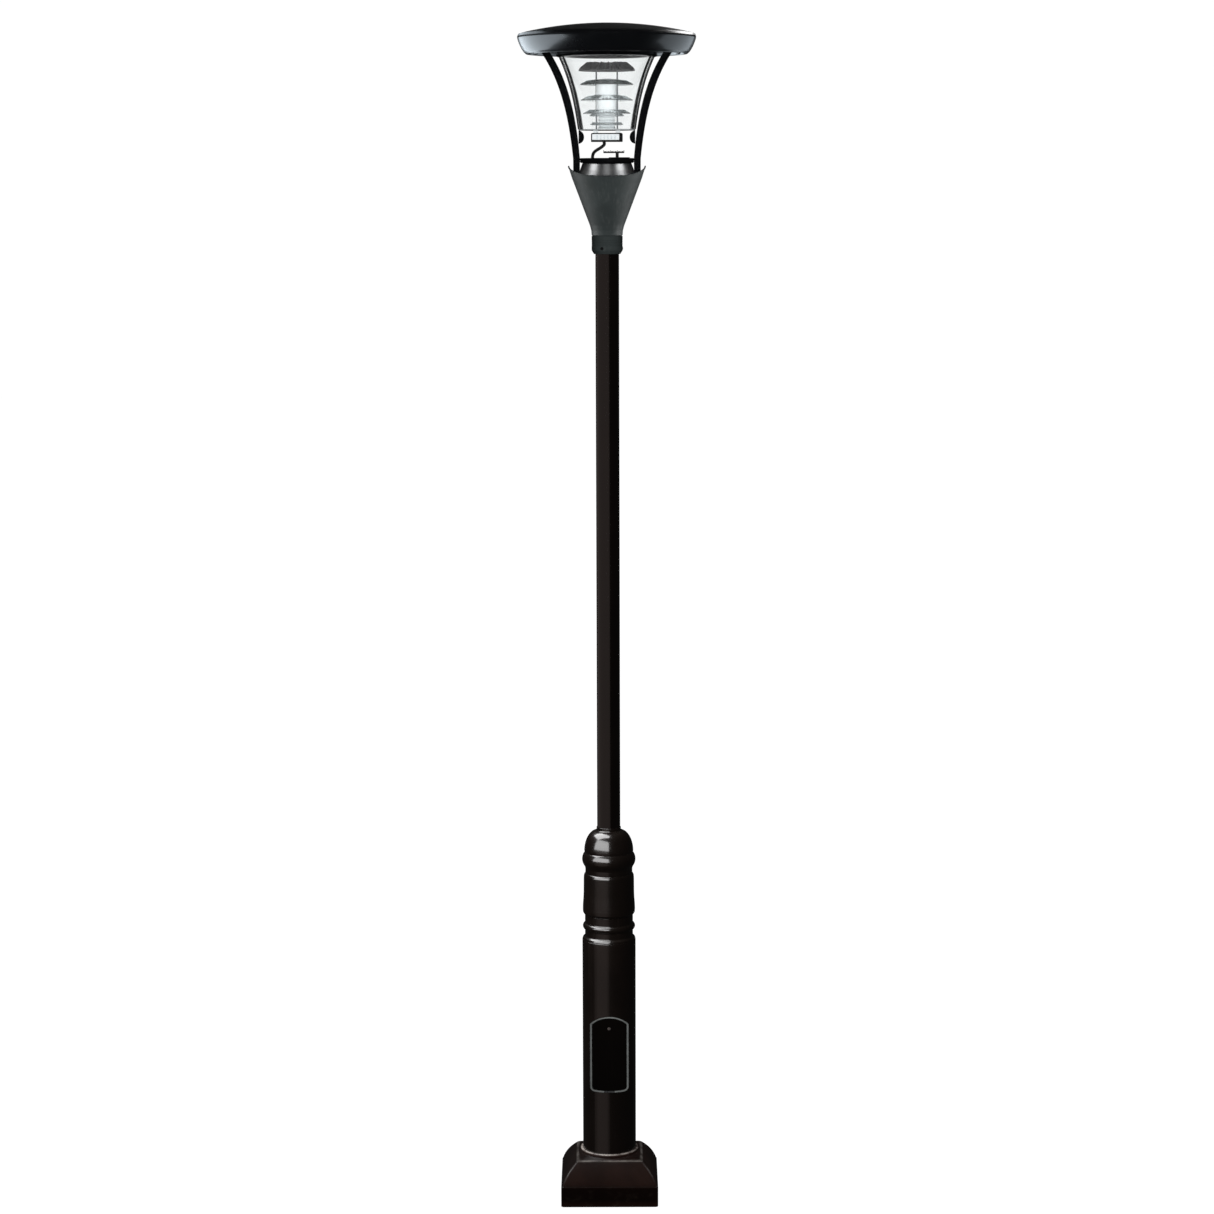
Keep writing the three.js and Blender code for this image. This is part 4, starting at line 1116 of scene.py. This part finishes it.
class BuildGear(BuildPiece):
    """Carrier plate, driver with its frame and cable, and the terminal strip"""

    bl_idname = "lamp.gear"
    bl_label = "Lamp gear"

    def build(self, sizes, colours):
        foot, top = heights("carrier_plate")
        wide, tall = high("carrier_plate").x, (top - foot) / MM
        line = eased([(0, foot), *at([(0, 0, 0.5), (0, tall, 0.5)], foot, wide), (0, top)], closed=False)
        deliver(turned("Carrier_Plate", line, 128), "lantern",
                plastic("pale_tray", (0.62, 0.66, 0.67), 0.4), ["carrier_plate"], "grey_paint")

        a, b = low("driver_box"), high("driver_box")
        lid = low("carrier_plate").z - GAP
        body_top = a.z + 22 * MM
        body = block("body", (a.x + 3 * MM, a.y + 2 * MM, a.z + 3 * MM), (b.x - 9 * MM, b.y - 2 * MM,
                     body_top - 2.4 * MM), 2 * MM)
        feet = [block(f"foot_{x}", (x - 6 * MM, a.y + 4 * MM, body_top - 3 * MM),
                      (x + 6 * MM, b.y - 4 * MM, lid), 0.8 * MM) for x in (a.x + 12 * MM, b.x - 12 * MM)]
        fins = [block(f"fin_{k}", (a.x + (14 + 9 * k) * MM, a.y + 1.2 * MM, a.z + 6 * MM),
                      (a.x + (17 + 9 * k) * MM, a.y + 3 * MM, body_top - 6 * MM), 0.5 * MM) for k in range(6)]
        deliver(weld("Driver_Box", [body, *feet, *fins]), "lantern",
                frosted_case(), ["driver_box"], "clear_case")
        tray = [block("tray", (a.x, a.y, a.z), (b.x, b.y, a.z + 4.6 * MM), 1.2 * MM),
                block("end_left", (a.x, a.y, a.z + 3 * MM),
                      (a.x + 2.6 * MM, b.y, body_top - 2 * MM), 0.8 * MM),
                block("end_right", (b.x - 8.6 * MM, a.y, a.z + 1 * MM),
                      (b.x, b.y, body_top - 0.4 * MM), 3 * MM),
                block("top", (a.x + 1 * MM, a.y, body_top - 2.2 * MM),
                      (b.x - 2 * MM, b.y, body_top), 0.8 * MM)]
        deliver(weld("Driver_Frame", tray), "lantern", black_moulding(),
                slot="black_plastic")

        lift = low("driver_cable").z
        x = -37 * MM
        points = [(0, 0, lift + 0.3 * MM), (0, 0, LANTERN_Z + 100 * MM), (-12 * MM, 0, LANTERN_Z + 140 * MM),
                  (x, 0, LANTERN_Z + 180 * MM), (x, 0, LANTERN_Z + 205 * MM), (x, 0, LANTERN_Z + 236 * MM),
                  (-33 * MM, 0, LANTERN_Z + 255 * MM), (-15 * MM, 0, LANTERN_Z + 268 * MM),
                  (-7 * MM, 0, a.z - 7 * MM), (-7 * MM, 0, a.z - GAP)]
        deliver(hose("Driver_Cable", points, 4 * MM, 24, 8), "lantern",
                black_cable(), ["driver_cable"], "black_rubber")

        a, b = low("terminal_block"), high("terminal_block")
        dark = black_moulding()
        ways = 6
        bed = b.z - 7 * MM
        end = b.x - 14 * MM
        pitch = (end - a.x) / ways
        parts = [block("deck", (a.x + 14 * MM, a.y, a.z), (b.x, b.y, a.z + 1.6 * MM), 0.4 * MM),
                 block("post", (22 * MM, -4 * MM, a.z + 1 * MM), (30 * MM, 4 * MM, bed + 1 * MM), 0.6 * MM),
                 block("bed", (a.x, -6 * MM, bed), (end, 6 * MM, bed + 3.4 * MM), 0.6 * MM)]
        for k in range(ways + 1):
            x = a.x + pitch * k
            x = min(max(x, a.x + 0.8 * MM), end - 0.8 * MM)
            parts.append(block(f"wall_{k}", (x - 0.8 * MM, -6 * MM, bed + 2 * MM), (x + 0.8 * MM, 6 * MM,
                         b.z - (k % 2) * 1.4 * MM), 0.3 * MM))
        deliver(weld("Terminal_Block", parts), "lantern", dark, ["terminal_block"], "black_plastic")
        screws = []
        for k in range(ways):
            x = a.x + pitch * (k + 0.5)
            screws.append(bar(f"screw_{k}", (x, 0, bed + 3 * MM), (x, 0, bed + 5 * MM), 2.2 * MM,
                              0.3 * MM, 24))
        deliver(weld("Terminal_Screws", screws), "lantern", bright_steel(), slot="bright_steel")


class BuildLamp(BuildPiece):
    """Lamp holder, opal LED lamp, prismatic louvres and the rods they hang on"""

    bl_idname = "lamp.lamp"
    bl_label = "Lamp and louvres"

    def build(self, sizes, colours):
        foot, top = heights("lamp_holder")
        wide = high("lamp_holder").x
        tall = (top - foot) / MM
        line = [(0, 0, 0.8), (0, 4, 0.6), (-1.4, 5, 0.5), (-1.4, tall - 8, 0.5), (0, tall - 7, 0.6),
                (0, tall - 0.2, 0.8)]
        line = eased([(0, foot), *at(line, foot, wide), (0, top - 0.2 * MM)], closed=False)
        deliver(turned("Lamp_Holder", line, 96), "lantern", frosted_case(), ["lamp_holder"], "clear_case")

        foot, top = heights("lamp")
        wide = high("lamp").x
        tall = (top - foot) / MM
        line = [(-8, 0, 1), (-3, 5, 3), (0, 14, 6), (0, tall - 16, 12), (-4.7, tall - 4.7, 14),
                (-16, tall, 10)]
        line = eased([(0, foot), *at(line, foot, wide), (0, top)], steps=8, closed=False)
        deliver(turned("Lamp", line, 96), "lantern", opal(), ["lamp"], "lamp_diffuser")

        prism_glass = clear("clear_prisms", (0.90, 0.94, 0.95), 0.05, 120, 0.3 * MM)
        smoked = clear("smoked_prisms", (0.30, 0.34, 0.34), 0.12, 120, 0.3 * MM)
        for i in range(1, 6):
            node = f"louvre_{i}"
            deliver(self.louvre(node, 44, 4.0 * MM), "lantern", smoked if i == 5 else prism_glass, [node],
                    "clear_louvre")
        deliver(self.louvre("louvre_6", 17, 11 * MM), "lantern",
                black_moulding(), ["louvre_6"], "black_plastic")
        for side in ("right", "left"):
            node = f"louvre_rod_{side}"
            a, b = low(node), high(node)
            centre = (a + b) / 2
            made = bar(f"Louvre_Rod_{side.title()}", (centre.x, centre.y, a.z), (centre.x, centre.y, b.z),
                       2 * MM)
            deliver(made, "lantern", grey_moulding(), [node], "grey_plastic")

    @staticmethod
    def louvre(node, teeth, depth):
        """A sloping ring with prisms cut across its top; deeper ones leave a saw-toothed rim."""
        (foot, top), wide = heights(node), high(node).x
        bore, thick = 31 * MM, 1.6 * MM
        drop = top - foot - thick
        steps = teeth * 4
        loops = []
        for i in range(steps):
            turn = TAU * i / steps
            rise = depth * abs((i / 4) % 1.0 - 0.5) * 2
            middle = (wide + bore) / 2
            profile = [(bore, foot + drop), (wide, foot), (wide, foot + thick * 0.6 + rise * 0.3),
                       (wide - 4 * MM, foot + thick + rise * 0.7), (middle, foot + drop * 0.5 + thick + rise),
                       (bore + 4 * MM, foot + drop * 0.8 + thick + rise * 0.4), (bore, foot + drop + thick)]
            loops.append([spun(r, turn, z) for r, z in profile])
        bm = bmesh.new()
        skin(bm, loops, ring=True, loop=True)
        return to_object(node.title(), bm, 20)


class BuildCover(BuildPiece):
    """Clear trumpet cover in two halves, its joint strips and its top ring"""

    bl_idname = "lamp.cover"
    bl_label = "Cover"

    def build(self, sizes, colours):
        foot, top = heights("cover_front")
        seam = low("cover_rear").y
        glass = clear("clear_cover_acrylic", (0.97, 0.985, 0.985), 0.015, 26, 0.25 * MM)
        levels = 36
        inset = 3.6 * MM
        for side, sign in (("front", -1), ("rear", 1)):
            loops = []
            turns = 96
            for k in range(turns + 1):
                row = []
                for outer_skin in (True, False):
                    rungs = [foot + (top - foot) * i / levels for i in range(levels + 1)]
                    for z in rungs if outer_skin else reversed(rungs):
                        r = strip_outer(z) - inset - (0 if outer_skin else sizes.glass)
                        start = math.asin(seam / r)
                        turn = start + (math.pi - 2 * start) * k / turns
                        row.append((r * math.cos(turn), sign * r * math.sin(turn), z))
                loops.append(row)
            deliver(lofted(f"Cover_{side.title()}", loops), "lantern", glass, [f"cover_{side}"],
                    "clear_cover")

        for side, sign in SIDES:
            loops = []
            half = 4.5 * MM
            for i in range(levels + 1):
                z = foot + (top - foot) * i / levels
                outer = strip_outer(z)
                inner = outer - 14 * MM
                section = eased([(inner, -half, MM), (outer, -half, 2 * MM), (outer, half, 2 * MM),
                                 (inner, half, MM)], steps=4)
                loops.append([(sign * x, y, z) for x, y in section])
            deliver(lofted(f"Cover_Strip_{side.title()}", loops, 40), "lantern",
                    rubber("black_strip", (0.010, 0.010, 0.011), 0.55), [f"cover_strip_{side}"],
                    "black_rubber")

        foot, top = heights("cover_top_ring")
        wide, tall = high("cover_top_ring").x, (top - foot) / MM
        deep = wide - strip_outer(low("cover_top_ring").z) + 18 * MM
        line = [(-deep / MM, 0, 0.6), (-2.2, 0, 0.8), (0, 3, 1.2), (0, 6.2, 0.3), (-0.8, 6.6, 0.3),
                (-0.8, 7.6, 0.3), (0, 8.0, 0.3), (0, tall, 0.8), (-deep / MM, tall, 0.6)]
        deliver(turned("Cover_Top_Ring", eased(at(line, foot, wide)), 192), "lantern", cap_paint(colours),
                ["cover_top_ring"], "cast_black")


class BuildCap(BuildPiece):
    """Wide cap: rim with its drip lip and hinge lugs, white reflector, and the domed lid that tilts back"""

    bl_idname = "lamp.cap"
    bl_label = "Cap"

    def build(self, sizes, colours):
        paint = cap_paint(colours)
        rim_top = low("top_cover").z + 4.0 * MM
        bore = 0.1  # of the rim's soffit
        curve = bent(*at([(-16.5, -3), (-5, 12.5), (0, 32.5)], SOFFIT, CAP_R))
        below = [(-45, 0, 2), (-42.4, -7.5, 1.5), (-39.4, -7.5, 1), (-38.2, -1.6, 1), (-27, -1.6, 1),
                 (-25, -7.5, 1.2), (-21.6, -7.5, 1.6), (-16.5, -3, 1.5)]
        above = [(-2.6, -0.4, 1.5), (-5, 0, 0.8), (-13, 0, 0.8), (-13, -8, 2)]
        outline = [(bore, SOFFIT), *at(below, SOFFIT, CAP_R), *curve, *at([(-0.1, 37, 2)], SOFFIT, CAP_R),
                   *at(above, rim_top, CAP_R), *at([(-19.5, 8, 2), (-24.5, 4, 2)], SOFFIT, CAP_R),
                   (bore, SOFFIT + 4 * MM)]
        rim = turned("Cap_Rim", eased(outline, 0.5 * MM, 5), 240)
        lugs = []
        knuckle = 14 * MM
        for side in (-1, 1):
            near, far = side * (knuckle + GAP), side * 27 * MM
            x0, x1 = min(near, far), max(near, far)
            lugs.append(bar(f"lug_{side}", (x0, TOP_HINGE.y, TOP_HINGE.z), (x1, TOP_HINGE.y, TOP_HINGE.z),
                            3.6 * MM, 0.5 * MM))
            lugs.append(block(f"foot_{side}", (x0, TOP_HINGE.y - 2.5 * MM, rim_top - 2 * MM),
                              (x1, TOP_HINGE.y + 2.2 * MM, TOP_HINGE.z), 0.4 * MM))
        deliver(weld("Cap_Rim", [rim, *lugs]), "lantern", paint, ["cap_rim"], "cap_black")

        foot, top = heights("reflector")
        wide = high("reflector").x
        line = eased([(0, foot), (wide, foot, 0.5 * MM), (wide, top, 0.5 * MM), (0, top)], closed=False)
        deliver(turned("Reflector", line, 128), "lantern", enamel(), ["reflector"], "reflector_white")

        edge_r = CAP_R - 9 * MM
        edge = rim_top + GAP
        rise = CAP_TOP - edge - 1.6 * MM
        sphere = (edge_r ** 2 + rise ** 2) / (2 * rise)

        def crown(r, lift=0.0):
            return math.sqrt(sphere ** 2 - r ** 2) - sphere + edge + rise + lift

        radii = [edge_r * k / 24 for k in range(24)]
        top_line = [(r, crown(r, 1.6 * MM)) for r in reversed(radii)]
        under = [(r, crown(r, -3 * MM)) for r in radii if r < edge_r - 12 * MM]
        lid_line = [*under, *at([(-6, -4, 1), (-4.6, -4, 0.5), (-4.6, 0, 0.4), (0, 0, 0.5)], edge, edge_r),
                    (edge_r, crown(edge_r, 1.2 * MM), 1.2 * MM), *top_line]
        lid = turned("Top_Cover", eased(lid_line, closed=False), 240)
        half = knuckle - GAP
        tab = block("tab", (-half, edge_r - 6 * MM, edge + 0.2 * MM),
                    (half, TOP_HINGE.y, edge + 3.4 * MM), 0.6 * MM)
        roll = bar("roll", (-half, TOP_HINGE.y, TOP_HINGE.z), (half, TOP_HINGE.y, TOP_HINGE.z), 3.6 * MM,
                   0.5 * MM)
        deliver(weld("Top_Cover", [lid, tab, roll]), "top_cover", paint, ["top_cover"], "cap_black")


class BuildStage(BuildPiece):
    """Pale floor, white surroundings and the camera"""

    bl_idname = "lamp.stage"
    bl_label = "Stage"

    def build(self, sizes, colours):
        scene = bpy.context.scene
        scene.view_settings.view_transform = "Standard"
        scene.view_settings.look = "None"
        self.floor()
        self.world(scene)
        data = bpy.data.cameras.new("Camera")
        data.sensor_width = 36
        data.lens = 89.11
        camera = bpy.data.objects.new("Camera", data)
        camera.location = (0, -7.70, 2.65)
        camera.rotation_euler = (math.radians(90 - 7.988), math.radians(0.155), 0)
        scene.collection.objects.link(camera)
        scene.camera = camera

    @staticmethod
    def floor():
        bm = bmesh.new()
        bmesh.ops.create_grid(bm, x_segments=8, y_segments=8, size=30)
        ground = to_object("Floor", bm)
        material = bpy.data.materials.new("pale_floor")
        material.use_nodes = True
        f = Finish(material.node_tree)
        cloud = f.noise(0.8, 3.0)
        white = f.mix((0.93, 0.93, 0.93), (0.96, 0.96, 0.96), cloud)
        diffuse = f.wire("ShaderNodeBsdfDiffuse", inputs={"Color": white})
        glow = f.wire("ShaderNodeEmission", inputs={"Color": (1.0, 1.0, 1.0), "Strength": 1.22})
        both = f.node("ShaderNodeMixShader", inputs={0: 0.86, 1: diffuse, 2: glow})
        out = f.node("ShaderNodeOutputMaterial")
        f.tree.links.new(both.outputs[0], out.inputs[0])
        ground.data.materials.append(material)
        ground.visible_glossy = False
        ground.visible_diffuse = False
        ground.visible_shadow = False

    @staticmethod
    def world(scene):
        """White behind the lamp and through its clear parts; nearly dark to everything it reflects."""
        world = bpy.data.worlds.new("Studio")
        world.use_nodes = True
        scene.world = world
        f = Finish(world.node_tree)
        path = f.node("ShaderNodeLightPath")
        open_view = Wire(f, path.outputs["Is Camera Ray"]) + Wire(f, path.outputs["Is Transmission Ray"])
        back = f.node("ShaderNodeBackground", inputs={
            "Color": (1.0, 1.0, 1.0), "Strength": 0.012 + open_view.step(0.4, 0.6)})
        out = f.node("ShaderNodeOutputWorld")
        f.tree.links.new(back.outputs[0], out.inputs[0])


class BuildLights(BuildPiece):
    """Studio panels, each aimed at one group of finishes"""

    bl_idname = "lamp.lights"
    bl_label = "Lights"

    def build(self, sizes, colours):
        column = self.group("Column_Pieces", lambda name: name in ("Lower_Column", "Door_Lock")
                            or name.startswith("Turned_"))
        pole = self.group("Pole_Pieces", lambda name: name == "Pole")
        turnings = self.group("Turned_Pieces", lambda name: name in ("Lower_Column", "Base_Collar")
                              or name.startswith("Turned_"))
        base = self.group("Base_Pieces", lambda name: name.startswith("Base_"))
        cap = self.group("Cap_Pieces", lambda name: name in ("Cap_Rim", "Top_Cover"))
        cup = self.group("Cup_Pieces", lambda name: name == "Cup")
        ring = self.group("Ring_Pieces", lambda name: name == "Bright_Ring")
        warm, cool = (1.0, 0.80, 0.74), (0.82, 0.92, 1.0)
        cap_z, ring_z = 2.98, 2.68  # heights that the lantern's lights aim at

        fill = self.panel("Fill", (0.3, -5.2, 3.2), (0, 0, 1.5), 4.0, 4.0, 5.0)
        fill.visible_glossy = False
        self.around("Column_Side", 0.75, 4.0, (-66, 0), 5.5, 0.12, warm, column)
        self.around("Column_Core", 0.75, 4.0, (-54, -8), 5.5, 0.07, warm, column)
        self.around("Pole_Side", 0.75, 4.0, (-132, 16), 5.5, 0.24, warm, pole)
        self.around("Bead_Box", 2.4, 3.0, (-72, 0), 2.6, 6.0, receivers=turnings)
        self.panel("Overhead", (-1.1, 0.175, 2.9), (-1.1, 0.175, 0), 2.4, 2.25, 9.0, receivers=turnings)
        self.around("Cap_Left", 1.86, 2.8, (-158, -58), 2.0, 3.4, cool, cap, aim=cap_z)
        self.around("Cap_Right", 1.86, 2.8, (80, 154), 2.0, 1.2, cool, cap, aim=cap_z)
        self.around("Cap_Edge_Right", 4.48, 2.6, (112, 158), 1.5, 9.0, (1.0, 1.0, 1.0), cap, aim=cap_z)
        self.around("Cap_Edge_Left", 4.10, 2.6, (-160, -100), 1.5, 2.0, cool, cap, aim=cap_z)
        for sign in (-1, 1):
            side = "Left" if sign < 0 else "Right"
            self.around(f"Cup_{side}", 2.6, 3.0, (95 * sign - 28, 95 * sign + 28), 2.5, 2.6, receivers=cup)
            self.panel(f"Ring_{side}", (2.5 * sign, -1.0, 4.6), (0, 0, ring_z), 1.6, 1.6, 1.2, receivers=ring)
            self.panel(f"Base_{side}", (1.6 * sign, 0.2, 2.1), (0, 0, 0.12), 0.9, 0.9,
                       8.0 if sign < 0 else 3.0, receivers=base)
        self.panel("Ring_Front", (0, -2.0, 4.9), (0, 0, ring_z), 1.2, 1.0, 0.4, receivers=ring)

    @staticmethod
    def group(name, belongs):
        """A collection of the pieces that a light reaches."""
        made = bpy.data.collections.new(name)
        for piece in bpy.data.objects:
            if piece.type == "MESH" and belongs(piece.name):
                made.objects.link(piece)
        return made

    @staticmethod
    def panel(name, place, target, wide, tall, radiance, tint=(1.0, 1.0, 1.0), receivers=None):
        data = bpy.data.lights.new(name, "AREA")
        data.shape, data.size, data.size_y, data.color = "RECTANGLE", wide, tall, tint
        data.energy = radiance * math.pi * wide * tall
        light = bpy.data.objects.new(name, data)
        light.location = place
        light.rotation_euler = (Vector(place) - Vector(target)).to_track_quat("Z", "Y").to_euler()
        light.visible_camera = light.visible_transmission = False
        light.light_linking.receiver_collection = receivers
        bpy.context.scene.collection.objects.link(light)
        return light

    def around(self, name, z, distance, span, tall, radiance, tint=(1.0, 1.0, 1.0), receivers=None, aim=None):
        """A panel that stands across a span of bearings, in degrees from the front, seen from the axis."""
        middle, half = math.radians(sum(span) / 2), math.radians(abs(span[1] - span[0]) / 2)
        place = (distance * math.sin(middle), -distance * math.cos(middle), z)
        wide = 2 * distance * math.tan(half)
        target = (0, 0, z if aim is None else aim)
        return self.panel(name, place, target, wide, tall, radiance, tint, receivers)


# ---------------------------------------------------------------- add-on
OPERATORS = (BuildStage, BuildBase, BuildColumn, BuildDoor, BuildFoundation, BuildFuseGear, BuildReducer,
             BuildNeck, BuildCup, BuildThroat, BuildArms, BuildGear, BuildLamp, BuildCover, BuildCap,
             BuildLights)


class LampPanel(bpy.types.Panel):
    """Lists the sizes, the colours and the pieces."""

    bl_idname = "VIEW3D_PT_lamp_post"
    bl_label = "Lamp Post"
    bl_space_type = "VIEW_3D"
    bl_region_type = "UI"
    bl_category = "Lamp Post"

    def draw(self, context):
        for group in (context.scene.lamp_sizes, context.scene.lamp_colours):
            box = self.layout.box()
            for name in type(group).__annotations__:
                box.prop(group, name)
        for operator in OPERATORS:
            self.layout.operator(operator.bl_idname)


CLASSES = (LampSizes, LampColours, *OPERATORS, LampPanel)


def register():
    for item in CLASSES:
        bpy.utils.register_class(item)
    bpy.types.Scene.lamp_sizes = bpy.props.PointerProperty(type=LampSizes)
    bpy.types.Scene.lamp_colours = bpy.props.PointerProperty(type=LampColours)


def unregister():
    del bpy.types.Scene.lamp_sizes, bpy.types.Scene.lamp_colours
    for item in reversed(CLASSES):
        bpy.utils.unregister_class(item)


def main():
    register()
    for operator in OPERATORS:
        getattr(bpy.ops.lamp, operator.bl_idname.split(".")[1])()


if __name__ == "__main__":
    main()
